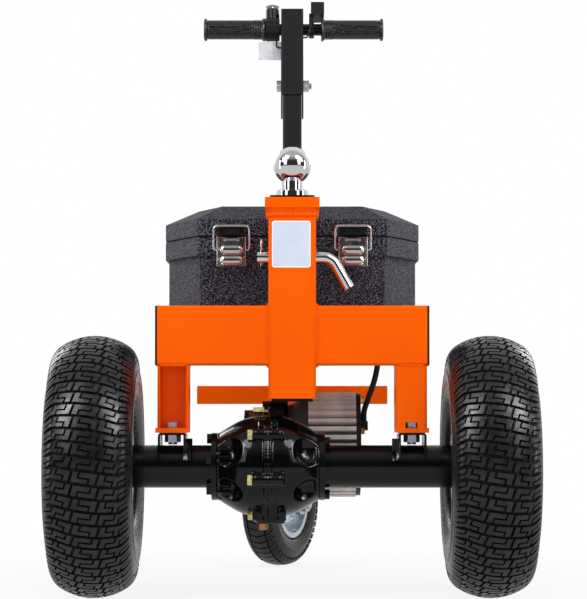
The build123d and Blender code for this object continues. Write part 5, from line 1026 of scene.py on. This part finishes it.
def grip_piece(name, node, side, settings):
    """One grip: flare, rings, patterned sleeve and rounded end flange."""
    low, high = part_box(node)
    span = high.x - low.x
    centre = (low + high) / 2
    flange = min((high.z - low.z) / 2 - 0.8 * MM, 18.2 * MM)
    body = (19 * MM, span - 7.5 * MM)
    profile = grip_profile(span, flange, SLEEVE_RADIUS + settings.rib_height, body)
    obj = turned(name, GRIP_SIDES, profile)
    body_length = body[1] - body[0]
    for vertex in obj.data.vertices:
        along = vertex.co.x - body[0]
        radius = math.hypot(vertex.co.y, vertex.co.z)
        if not 0 <= along <= body_length or radius < SLEEVE_RADIUS - 0.1 * MM:
            continue
        angle = math.atan2(vertex.co.z, -vertex.co.y)
        if abs(angle) > QUARTER:
            angle = math.copysign(math.pi, angle) - angle
        sunk = settings.groove_depth * grip_pattern(along / body_length, angle)
        vertex.co.y *= 1 - sunk / radius
        vertex.co.z *= 1 - sunk / radius
    tidy_mesh(obj, 0.01 * MM)
    put(obj, (low.x if side > 0 else high.x, centre.y, centre.z), (side, 1, 1))
    if side < 0:
        tidy_mesh(obj, 0.01 * MM)
    return smooth(obj, 50)


class DOLLY_OT_grips(bpy.types.Operator):
    """Model both grips with their rings, long grooves and end flanges"""
    bl_idname = "dolly.grips"
    bl_label = "Grips"

    def execute(self, context):
        for name, node, side, body in (
                ("right_grip_sleeve", "grip_right", 1, "handle"),
                ("throttle_grip_sleeve", "throttle_grip", -1, "throttle_grip")):
            piece = grip_piece(name, node, side, context.scene.dolly_grip)
            dress(piece, "grip_rubber", body)
            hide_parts(node)
        return {"FINISHED"}


# Welds


BEAD_SIDES = 9
BEAD_START = 0.45
BEAD_END = 0.4
BEAD_RIPPLE = ((0.12, 0.86), (0.36, 1.0), (0.66, 0.93), (1.0, 0.7))


def weld_bead(name, start, end, radius, ripple):
    """A rippled bead along a straight seam."""
    run = end - start
    ripples = max(3, round(run.length / ripple))
    pitch = run.length / ripples
    profile = [(0.0, BEAD_START * radius)]
    for index in range(ripples):
        wobble = 1 + 0.13 * math.sin(index * 2.4 + run.length * 40) + 0.08 * math.sin(index * 5.1)
        profile += [((index + share) * pitch, width * wobble * radius)
                    for share, width in BEAD_RIPPLE]
    profile[-1] = (run.length, BEAD_END * radius)
    obj = turned(name, BEAD_SIDES, profile)
    obj.rotation_mode = "QUATERNION"
    obj.rotation_quaternion = run.to_track_quat("X", "Z")
    return put(obj, start)


def seam_runs():
    """The seams of the frame that show: (start, end, thickness share) of each."""
    runs = []

    def run(start, end, clear, share=1.0):
        start = Vector(start)
        end = Vector(end)
        inset = (end - start).normalized() * clear * MM
        runs.append((start + inset, end - inset, share))

    post_low, post_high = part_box("receiver_post")
    arm_low, arm_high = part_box("beam_arms")
    seated = 0.4 * MM
    for x in (post_low.x - seated, post_high.x + seated):
        for y in (arm_low.y, arm_high.y):
            run((x, y, arm_low.z), (x, y, arm_high.z), 2)
        for z in (arm_low.z, arm_high.z):
            run((x, arm_low.y, z), (x, arm_high.y, z), 3)
    for side in SIDES:
        low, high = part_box("leg_" + side)
        middle_x = math.copysign(159 * MM, low.x + high.x)
        edges = (middle_x - 20.5 * MM, middle_x + 20.5 * MM)
        for y in (low.y + 2 * MM, high.y - 2 * MM):
            run((edges[0], y, arm_low.z), (edges[1], y, arm_low.z), 4, 0.6)
        for x in edges:
            run((x, low.y, arm_low.z), (x, high.y, arm_low.z), 6, 0.6)
    collar_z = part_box("post_collar")[0].z
    for y in (post_low.y, post_high.y):
        run((post_low.x, y, collar_z), (post_high.x, y, collar_z), 1, 1.25)
    for x in (post_low.x, post_high.x):
        run((x, post_low.y, collar_z), (x, post_high.y, collar_z), 1, 1.25)
    return runs


class DOLLY_OT_welds(bpy.types.Operator):
    """Lay rippled beads along the frame's seams"""
    bl_idname = "dolly.welds"
    bl_label = "Weld beads"

    def execute(self, context):
        settings = context.scene.dolly_weld
        beads = [weld_bead(f"bead_{index}", start, end, settings.radius * share, settings.ripple)
                 for index, (start, end, share) in enumerate(seam_runs())]
        dress(smooth(joined("frame_weld_beads", beads), 60), "orange_paint", "root")
        return {"FINISHED"}


# Saddles and motor


class DOLLY_OT_saddles(bpy.types.Operator):
    """Fold the top corners of both axle saddles round"""
    bl_idname = "dolly.saddles"
    bl_label = "Axle saddles"

    def execute(self, context):
        piece = tidy_mesh(copy_of(frame["nodes"]["axle_saddles"], "folded_saddles"))
        plate_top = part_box("axle_saddles")[1].z - 0.1 * MM
        corners = (141.5 * MM, 178.5 * MM)

        def is_fold(edge):
            place = edge_middle(edge)
            return (runs_along(edge, 1) and place.z > plate_top
                    and min(abs(abs(place.x) - x) for x in corners) < 0.2 * MM)

        edit(piece)
        pick(piece, "edges", is_fold)
        bpy.ops.mesh.bevel(offset=5.5 * MM, segments=6)
        close_edit(piece)
        dress(smooth(piece), "black_paint", "root")
        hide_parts("axle_saddles")
        return {"FINISHED"}


class DOLLY_OT_motor_body(bpy.types.Operator):
    """Round the crowns of the motor's fins, as cast, and paint shade on the floors between them"""
    bl_idname = "dolly.motor_body"
    bl_label = "Motor fins"

    def execute(self, context):
        low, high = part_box("motor_body")
        centre = (low + high) / 2
        core = (high.z - low.z) / 2 - 6 * MM
        piece = rounded_copy("motor_body", "finned_body", 0.9 * MM, 3)
        piece.data.materials.append(Finish.made["fin_gap"])
        # The floors between the fins take the dull grey as painted shade
        for polygon in piece.data.polygons:
            spokes = [piece.data.vertices[index].co - centre for index in polygon.vertices]
            reaches = [math.hypot(spoke.y, spoke.z) for spoke in spokes]
            if core - 1 * MM < min(reaches) and max(reaches) < core + 1.6 * MM:
                polygon.material_index = 1
        dress(piece, "aluminium", "root")
        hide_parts("motor_body")
        return {"FINISHED"}


# Battery box and its latches


class DOLLY_OT_box(bpy.types.Operator):
    """Round the edges of the battery box and its lid, as moulded, and paint shade into the parting groove"""
    bl_idname = "dolly.box"
    bl_label = "Battery box"

    def execute(self, context):
        tongue_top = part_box("box_tub")[1].z + 0.1 * MM
        parting = (tongue_top - 5.1 * MM, tongue_top + 0.5 * MM)
        for node, name, body in (("box_tub", "moulded_tub", "root"),
                                 ("box_lid", "moulded_lid", "lid")):
            piece = rounded_copy(node, name, 1.3 * MM)
            piece.data.materials.clear()
            dress(piece, "box_plastic", body)
            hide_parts(node)
            # The faces in the parting groove take the darker plastic as painted shade
            piece.data.materials.append(Finish.made["box_groove"])
            for polygon in piece.data.polygons:
                if within(polygon.center.z, parting):
                    polygon.material_index = 1
        return {"FINISHED"}


def louvre(name, centre, half_width, half_height, depth):
    """A pressed louvre: a capsule across the lever, flattened and cut off at the plate."""
    rounds = 6
    profile = []
    for index in range(rounds + 1):
        turn = QUARTER * index / rounds
        radius = half_height * max(0.04, math.sin(turn))
        profile.append((-half_width + half_height * (1 - math.cos(turn)), radius))
    profile += [(-x, radius) for x, radius in reversed(profile)]
    obj = turned(name, 28, profile)
    edit(obj)
    pick_all()
    bpy.ops.mesh.bisect(plane_co=(0, 0, 0), plane_no=(0, 1, 0), clear_outer=True, use_fill=True)
    face_outwards()
    return put(close_edit(obj), centre, (1, depth / half_height, 1))


def press_panel(obj, is_rounded, radius, segments, border, slope, sink):
    """Rounds the edges that the test accepts, and sinks a panel into the front of a plate."""
    edit(obj)
    pick(obj, "edges", is_rounded)
    bpy.ops.mesh.bevel(offset=radius, segments=segments)
    pick(obj, "faces", lambda face: face.normal.y < -0.999)
    bpy.ops.mesh.inset(thickness=border)
    bpy.ops.mesh.inset(thickness=slope, depth=-sink)
    return close_edit(obj)


def lever_plate(name, x, front, low, high):
    """The lever's plate: side edges rolled, a sunk panel, a notch for the base's ears."""
    plate = start_box(name, (low.x, front, low.z), (high.x, front + 2.4 * MM, high.z))

    def is_side_edge(edge):
        return runs_along(edge, 2) and edge_middle(edge).y < front + 0.1 * MM

    press_panel(plate, is_side_edge, 1.7 * MM, 4, 1.0 * MM, 0.8 * MM, 1.2 * MM)
    half_notch = 10.8 * MM
    notch = start_box("notch_cutter", (x - half_notch, front - 1 * MM, high.z - 7.5 * MM),
                      (x + half_notch, front + 4 * MM, high.z + 1 * MM))
    return cut(plate, [notch])


def lever_piece(name, node):
    """A latch lever: pressed channel with its plate, two louvres and the pivot pin."""
    low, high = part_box(node)
    x = (low.x + high.x) / 2
    front = low.y + 3.0 * MM
    wall = 2.0 * MM
    pieces = [lever_plate(name, x, front, low, high)]
    for start in (low.x, high.x - wall):
        pieces.append(start_box(name, (start, front + 1.2 * MM, low.z + 6 * MM),
                                (start + wall, high.y, high.z - 1 * MM)))
    for rise in (8.2 * MM, 22.4 * MM):
        pieces.append(louvre(name, (x, front + 1.3 * MM, low.z + rise),
                             15.4 * MM, 6.4 * MM, 4.3 * MM))
    pin = start_rod(name, 20, 1.75 * MM, high.x - low.x - 0.2 * MM,
                    (x, high.y - 3.0 * MM, high.z - 4.0 * MM))
    pieces.append(bevel_edges(pin, 0.4 * MM))
    return flatten_shading(smooth(joined(name, pieces)))


class DOLLY_OT_latch_levers(bpy.types.Operator):
    """Press both latch levers with their louvres"""
    bl_idname = "dolly.latch_levers"
    bl_label = "Latch levers"

    def execute(self, context):
        for side in SIDES:
            node = "latch_lever_" + side
            piece = lever_piece("pressed_lever_" + side, node)
            dress(piece, "nickel", node)
            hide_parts(node)
        return {"FINISHED"}


# Axle housing, whose profiles and corners are in millimetres from the axle and the split


HOUSING_OUTLINE = ((0, 67), (9, 67), (16, 66.6), (22, 65.8), (28, 64.6), (34, 62.8), (40, 60.4),
                   (46, 57.2), (52, 53.6), (58, 50), (63, 46.8), (66, 44.6), (68.4, 44.4))
HOUSING_HOLLOW = ((-2, 61), (9, 61), (20, 59.6), (30, 56.6), (38, 52), (45, 45.5), (50, 29),
                  (72, 29))
SPLIT_FLANGE = ((0, 70.4), (4.6, 70.4), (5.4, 66))
END_RING = ((62.6, 45), (68.6, 45))
CLAMP_BOSS = ((-0.2, 8.6), (3.0, 8.6), (4.0, 7.8), (16.0, 7.8), (17.0, 8.8), (20.8, 8.8))
CLAMP_CIRCLE = 70
CLAMP_COUNT = 7
CLAMP_PHASE = -12.86
POCKET_X = 58
POCKET_DEPTH = 22
POCKET_ANGLES = (23, -34.5)
RIB_HEIGHTS = (24, 15, 6, -24, -33, -42)
RIB_CIRCLE = 46.0
RIB_HALF = 1.7


def turned_mm(name, sides, profile):
    """A turned solid whose stations are in millimetres."""
    return turned(name, sides, stations(0.0, 0.0, profile))


def box_mm(name, low, high):
    """A box between two corners in millimetres."""
    return start_box(name, [value * MM for value in low], [value * MM for value in high])


def pocket_cutters(settings, extra):
    """The four pockets of one half, about the axle, each this much larger all round."""
    depth = POCKET_DEPTH * MM
    reach = settings.pocket_floor + depth
    widths = (settings.pocket_half_width, settings.low_half_width)
    cutters = []
    for degrees, half_width in zip(POCKET_ANGLES, widths):
        angle = math.radians(degrees)
        for turn in (angle, math.pi - angle):
            start_clean()
            bpy.ops.mesh.primitive_uv_sphere_add(segments=48, ring_count=24, radius=1)
            ball = named("pocket_cutter")
            ball.rotation_euler.x = -turn
            place = (POCKET_X * MM, -reach * math.cos(turn), reach * math.sin(turn))
            size = (settings.pocket_half_length + extra, depth + extra, half_width + extra)
            cutters.append(put(ball, place, size))
    return cutters


def clamp_bosses(name):
    """The bosses of the clamp screws, with a collar at each end."""
    bosses = []
    circle = CLAMP_CIRCLE * MM
    for index in (1, 0, -1, -2):
        turn = 2 * math.pi / CLAMP_COUNT * index + math.radians(CLAMP_PHASE)
        place = (0, -circle * math.cos(turn), circle * math.sin(turn))
        bosses.append(put(turned_mm(name, 28, CLAMP_BOSS), place))
    return bosses


def finger_ribs(name):
    """Short ribs inside a pocket, which run from the flange to the neck."""
    ribs = []
    for height in RIB_HEIGHTS:
        reach = math.sqrt(RIB_CIRCLE ** 2 - height ** 2)
        ribs.append(box_mm(name, (50, -(reach + 3), height - RIB_HALF),
                           (66, -(reach - 9), height + RIB_HALF)))
    return ribs


def housing_half(name, settings, is_right):
    """One half of the cast housing, about the axle, with its middle at x = 0."""
    body = turned_mm(name, 112, HOUSING_OUTLINE)
    shapes = [cut(body, pocket_cutters(settings, 0.0)),
              turned_mm(name, 96, SPLIT_FLANGE), turned_mm(name, 96, END_RING)]
    shapes += clamp_bosses(name)
    drain_end = 22 if is_right else 15.5
    # The drain block with its step and rib, and the lug on the flange's top
    shapes += [box_mm(name, (0, -38, -74.6), (drain_end, -12, -50)),
               box_mm(name, (0, -47, -62), (drain_end * 0.6, -20, -46)),
               box_mm(name, (drain_end - 9, -42, -71), (drain_end + 2, -34, -56)),
               box_mm(name, (5.5, -45, 53), (12, -30, 63))]
    if is_right:
        shapes.append(box_mm(name, (0, -9, 60), (20, 9, 79.6)))
    else:
        shapes += finger_ribs(name)
    piece = joined(name, shapes)
    apply_modifier(piece, "REMESH", mode="VOXEL", voxel_size=settings.grain)
    apply_modifier(piece, "SMOOTH", factor=0.5, iterations=settings.rounding)
    hollow = turned_mm("hollow_cutter", 72, HOUSING_HOLLOW)
    return cut(piece, [cut(hollow, pocket_cutters(settings, settings.wall))])


def gear_room():
    """The room of the idler gear, which both halves leave open."""
    low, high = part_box("idler_gear")
    radius = (high.z - low.z) / 2 + 1.5 * MM
    return start_rod("gear_cutter", 64, radius, high.x - low.x - 1 * MM, (low + high) / 2)


class DOLLY_OT_housing(bpy.types.Operator):
    """Cast both halves of the axle housing with their pockets, ribs and bosses"""
    bl_idname = "dolly.housing"
    bl_label = "Axle housing"

    def execute(self, context):
        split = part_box("diff_housing_right")[0].x
        centre = middle("axle_tubes")
        for side, scale in (("right", 1), ("left", -1)):
            piece = housing_half("cast_half_" + side, context.scene.dolly_housing, scale > 0)
            put(piece, (split, centre.y, centre.z), (scale, 1, 1))
            cut(piece, [gear_room()])
            tidy_mesh(piece, 0.01 * MM)
            dress(smooth(piece), "gloss_black_paint", "root")
            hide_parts("diff_housing_" + side)
        return {"FINISHED"}


# Blank plate and hang tag


class DOLLY_OT_label(bpy.types.Operator):
    """Make the blank plate on the post, with its raised border"""
    bl_idname = "dolly.label"
    bl_label = "Blank plate"

    def execute(self, context):
        settings = context.scene.dolly_label
        post_low, post_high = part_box("receiver_post")
        face_y = post_low.y - settings.thickness
        top = post_high.z - 31.6 * MM
        left = -26.9 * MM
        plate = start_box("blank_plate", (left, face_y, top - settings.height),
                          (left + settings.width, post_low.y - 0.02 * MM, top))
        press_panel(plate, lambda edge: runs_along(edge, 1), 3.6 * MM, 6,
                    1.3 * MM, 0.15 * MM, 0.12 * MM)
        dress(smooth(plate, 30), "label_border", "root")
        plate.data.materials.append(Finish.made["label_film"])
        for polygon in plate.data.polygons:
            if polygon.normal.y < -0.9 and polygon.center.y > face_y + 0.06 * MM:
                polygon.material_index = 1
        return {"FINISHED"}


class DOLLY_OT_tag(bpy.types.Operator):
    """Hang the blank card tag under the throttle housing"""
    bl_idname = "dolly.tag"
    bl_label = "Blank tag"

    def execute(self, context):
        low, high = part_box("throttle_housing")
        centre_y = (low.y + high.y) / 2
        width = 37 * MM
        height = 29 * MM
        left = -54.5 * MM
        top = low.z - 1.5 * MM
        start_clean()
        bpy.ops.mesh.primitive_grid_add(x_subdivisions=14, y_subdivisions=10, size=1,
                                        rotation=(QUARTER, 0, 0))
        place = (left + width / 2, centre_y - 4 * MM, top - height / 2)
        card = put(named("blank_tag"), place, (width, height, 1))
        for vertex in card.data.vertices:
            across = (vertex.co.x - left) / width - 0.5
            down = (top - vertex.co.z) / height
            vertex.co.y += 5 * MM * across * across + 2.5 * MM * down * down
        apply_modifier(card, "SOLIDIFY", thickness=0.35 * MM, offset=0)
        smooth(card)
        start_clean()
        bpy.ops.mesh.primitive_torus_add(
            major_segments=40, minor_segments=8, major_radius=3.4 * MM, minor_radius=0.35 * MM,
            rotation=(0, QUARTER, 0),
            location=(left + 0.62 * width, centre_y - 3 * MM, top - 0.6 * MM))
        tie = settle(named("tag_tie"))
        dress(joined("blank_tag", [card, tie]), "tag_paper", "handle")
        return {"FINISHED"}


# Floor, light and camera


WHITE = (1, 1, 1, 1)
LIT_POINT = (0, -0.1, 0.38)
FLOOR_RADIUS = 14
FLOOR_DROP = 0.4 * MM
SHADOW_SPAN = (0.2, 1.0)
CAMERA_DISTANCE = 3.1
CAMERA_HEIGHT = 0.284
SENSOR_WIDTH = 36
PIXELS_PER_METRE = 745.0
PHOTO_WIDTH = 587
PHOTO_HEIGHT = 599
VIEW_CENTRE_X = 292.2
VIEW_CENTRE_Y = 385.0


class DOLLY_OT_stage(bpy.types.Operator):
    """Set the floor, the soft studio light and the camera"""
    bl_idname = "dolly.stage"
    bl_label = "Stage"

    def execute(self, context):
        settings = context.scene.dolly_stage
        make_floor(settings)
        make_world(settings)
        make_lamps(settings)
        make_camera()
        context.scene.view_settings.view_transform = "Standard"
        return {"FINISHED"}


def smooth_range(tree, value, span, results):
    """A value's span laid over another range, easing in and out."""
    inputs = {"Value": value, "From Min": span[0], "From Max": span[1],
              "To Min": results[0], "To Max": results[1]}
    return add_node(tree, "MapRange", inputs, interpolation_type="SMOOTHSTEP")


def make_floor(settings):
    """A wide floor that turns plain white away from the dolly."""
    start_clean()
    bpy.ops.mesh.primitive_circle_add(vertices=96, radius=FLOOR_RADIUS, fill_type="NGON",
                                      location=(0, 0, -FLOOR_DROP))
    floor = settle(named("studio_floor"))
    material = bpy.data.materials.new("studio_floor")
    material.use_nodes = True
    tree = material.node_tree
    shader = tree.nodes["Principled BSDF"]
    shader.inputs["Roughness"].default_value = 0.9
    shader.inputs["Specular IOR Level"].default_value = 0.0
    shader.inputs["Base Color"].default_value = (*settings.floor, 1)
    camera_ray = add_node(tree, "LightPath", {}, "Is Camera Ray")
    glossy_ray = camera_ray.node.outputs["Is Glossy Ray"]
    strength = add_node(tree, "MapRange", {"Value": camera_ray, "To Min": settings.floor_level})
    plain = add_node(tree, "Emission", {"Color": WHITE, "Strength": strength})
    place = add_node(tree, "TexCoord", {}, "Object")
    distance = add_node(tree, "VectorMath", {0: place}, "Value", operation="LENGTH")
    fade = smooth_range(tree, distance, SHADOW_SPAN, (settings.whiteness, 1.0))
    seen = math_node(tree, "MAXIMUM", camera_ray, glossy_ray)
    share = math_node(tree, "MULTIPLY", fade, seen)
    surface = mix_shaders(tree, share, shader.outputs[0], plain)
    connect(tree, surface, tree.nodes["Material Output"].inputs["Surface"])
    floor.data.materials.append(material)


def make_world(settings):
    """White where it is seen, mirrored as a room with a white back wall, soft on the rest."""
    world = bpy.data.worlds.new("studio")
    bpy.context.scene.world = world
    world.use_nodes = True
    tree = world.node_tree
    tree.nodes.clear()
    room_strength = room_level(tree, settings.front_level)
    soft_light = add_node(tree, "Background", {"Color": WHITE, "Strength": settings.ambient})
    backdrop = add_node(tree, "Background", {"Color": WHITE})
    room = add_node(tree, "Background", {"Color": WHITE, "Strength": room_strength})
    camera_ray = add_node(tree, "LightPath", {}, "Is Camera Ray")
    rays = camera_ray.node.outputs
    mirrored = math_node(tree, "MAXIMUM", rays["Is Glossy Ray"], rays["Is Transmission Ray"])
    unseen = mix_shaders(tree, mirrored, soft_light, room)
    add_node(tree, "OutputWorld", {"Surface": mix_shaders(tree, camera_ray, unseen, backdrop)})


def room_level(tree, front_level):
    """How bright the room is in each direction: white behind, grey overhead, dark in front."""
    place = add_node(tree, "TexCoord", {}, "Generated")
    depth = add_node(tree, "SeparateXYZ", {0: place}, "Y")
    back = smooth_range(tree, depth, (-0.25, 0.35), (front_level, 0.8))
    above = smooth_range(tree, depth.node.outputs["Z"], (0.35, 0.9), (0.0, 0.5))
    return math_node(tree, "MAXIMUM", back, above)


def soft_lamp(name, location, width, height, watts):
    """A large area lamp that points at the dolly."""
    data = bpy.data.lights.new(name, "AREA")
    data.shape = "RECTANGLE"
    data.size = width
    data.size_y = height
    data.energy = watts
    lamp = bpy.data.objects.new(name, data)
    bpy.context.scene.collection.objects.link(lamp)
    lamp.location = location
    aim = Vector(LIT_POINT) - Vector(location)
    lamp.rotation_euler = aim.to_track_quat("-Z", "Y").to_euler()
    return lamp


def make_lamps(settings):
    """Soft boxes in front, high and behind, side strips, gloss boxes and one fill light."""
    for side in (-1, 1):
        soft_lamp("front_box", (side * 1.75, -2.1, 1.35), 0.8, 1.3, settings.front_power)
        soft_lamp("high_box", (side * 1.2, -1.5, 2.4), 0.9, 0.9, settings.high_power)
        soft_lamp("side_strip", (side * 2.3, -0.5, 0.75), 0.22, 1.5, settings.side_power)
        soft_lamp("rear_box", (side * 1.6, 2.2, 1.5), 0.8, 1.2, settings.rear_power)
        gloss = soft_lamp("gloss_box", (side * 1.85, -1.35, 1.85), 0.75, 1.0, settings.gloss_power)
        gloss.visible_diffuse = False
    fill = soft_lamp("fill_box", (0, -3.2, 0.45), 1.4, 0.9, settings.fill_power)
    fill.visible_glossy = False


def make_camera():
    """The photograph's viewpoint: level with the hubs' tops, straight at the front."""
    focal = PIXELS_PER_METRE * CAMERA_DISTANCE
    longer_side = max(PHOTO_WIDTH, PHOTO_HEIGHT)
    data = bpy.data.cameras.new("photo_view")
    data.sensor_width = SENSOR_WIDTH
    data.lens = focal / longer_side * SENSOR_WIDTH
    data.shift_x = (PHOTO_WIDTH / 2 - VIEW_CENTRE_X) / longer_side
    camera = bpy.data.objects.new("photo_view", data)
    bpy.context.scene.collection.objects.link(camera)
    camera.location = (0, middle("axle_tubes").y - CAMERA_DISTANCE, CAMERA_HEIGHT)
    pitch = math.atan((VIEW_CENTRE_Y - PHOTO_HEIGHT / 2) / focal)
    camera.rotation_euler = (QUARTER + pitch, 0, 0)
    bpy.context.scene.camera = camera


# Panel and registration


OPERATORS = (
    DOLLY_OT_stage,
    DOLLY_OT_finishes,
    DOLLY_OT_drive_tyres,
    DOLLY_OT_caster_tyre,
    DOLLY_OT_grips,
    DOLLY_OT_welds,
    DOLLY_OT_saddles,
    DOLLY_OT_motor_body,
    DOLLY_OT_box,
    DOLLY_OT_latch_levers,
    DOLLY_OT_housing,
    DOLLY_OT_label,
    DOLLY_OT_tag,
)

SETTINGS = {
    "dolly_finish": DollyFinishSettings,
    "dolly_tread": DollyTreadSettings,
    "dolly_caster_tread": DollyCasterTreadSettings,
    "dolly_grip": DollyGripSettings,
    "dolly_housing": DollyHousingSettings,
    "dolly_weld": DollyWeldSettings,
    "dolly_label": DollyLabelSettings,
    "dolly_stage": DollyStageSettings,
}


class DOLLY_PT_panel(bpy.types.Panel):
    """The dolly's build steps and their settings"""
    bl_idname = "DOLLY_PT_panel"
    bl_label = "Trailer dolly"
    bl_space_type = "VIEW_3D"
    bl_region_type = "UI"
    bl_category = "Dolly"

    def draw(self, context):
        layout = self.layout
        for operator in OPERATORS:
            layout.operator(operator.bl_idname)
        for name, group in SETTINGS.items():
            box = layout.box()
            settings = getattr(context.scene, name)
            for prop in group.__annotations__:
                box.prop(settings, prop)


def register():
    """Registers the settings, the operators and the panel."""
    for name, group in SETTINGS.items():
        bpy.utils.register_class(group)
        setattr(bpy.types.Scene, name, PointerProperty(type=group))
    for item in (*OPERATORS, DOLLY_PT_panel):
        bpy.utils.register_class(item)


def unregister():
    """Takes everything back out."""
    for item in (DOLLY_PT_panel, *reversed(OPERATORS)):
        bpy.utils.unregister_class(item)
    for name, group in SETTINGS.items():
        delattr(bpy.types.Scene, name)
        bpy.utils.unregister_class(group)


def main():
    """Builds the whole dolly round the frame."""
    register()
    bpy.ops.dolly.stage()
    bpy.ops.dolly.finishes()
    bpy.ops.dolly.drive_tyres()
    bpy.ops.dolly.caster_tyre()
    bpy.ops.dolly.grips()
    bpy.ops.dolly.welds()
    bpy.ops.dolly.saddles()
    bpy.ops.dolly.motor_body()
    bpy.ops.dolly.box()
    bpy.ops.dolly.latch_levers()
    bpy.ops.dolly.housing()
    bpy.ops.dolly.label()
    bpy.ops.dolly.tag()
    start_clean()


if __name__ == "__main__":
    main()
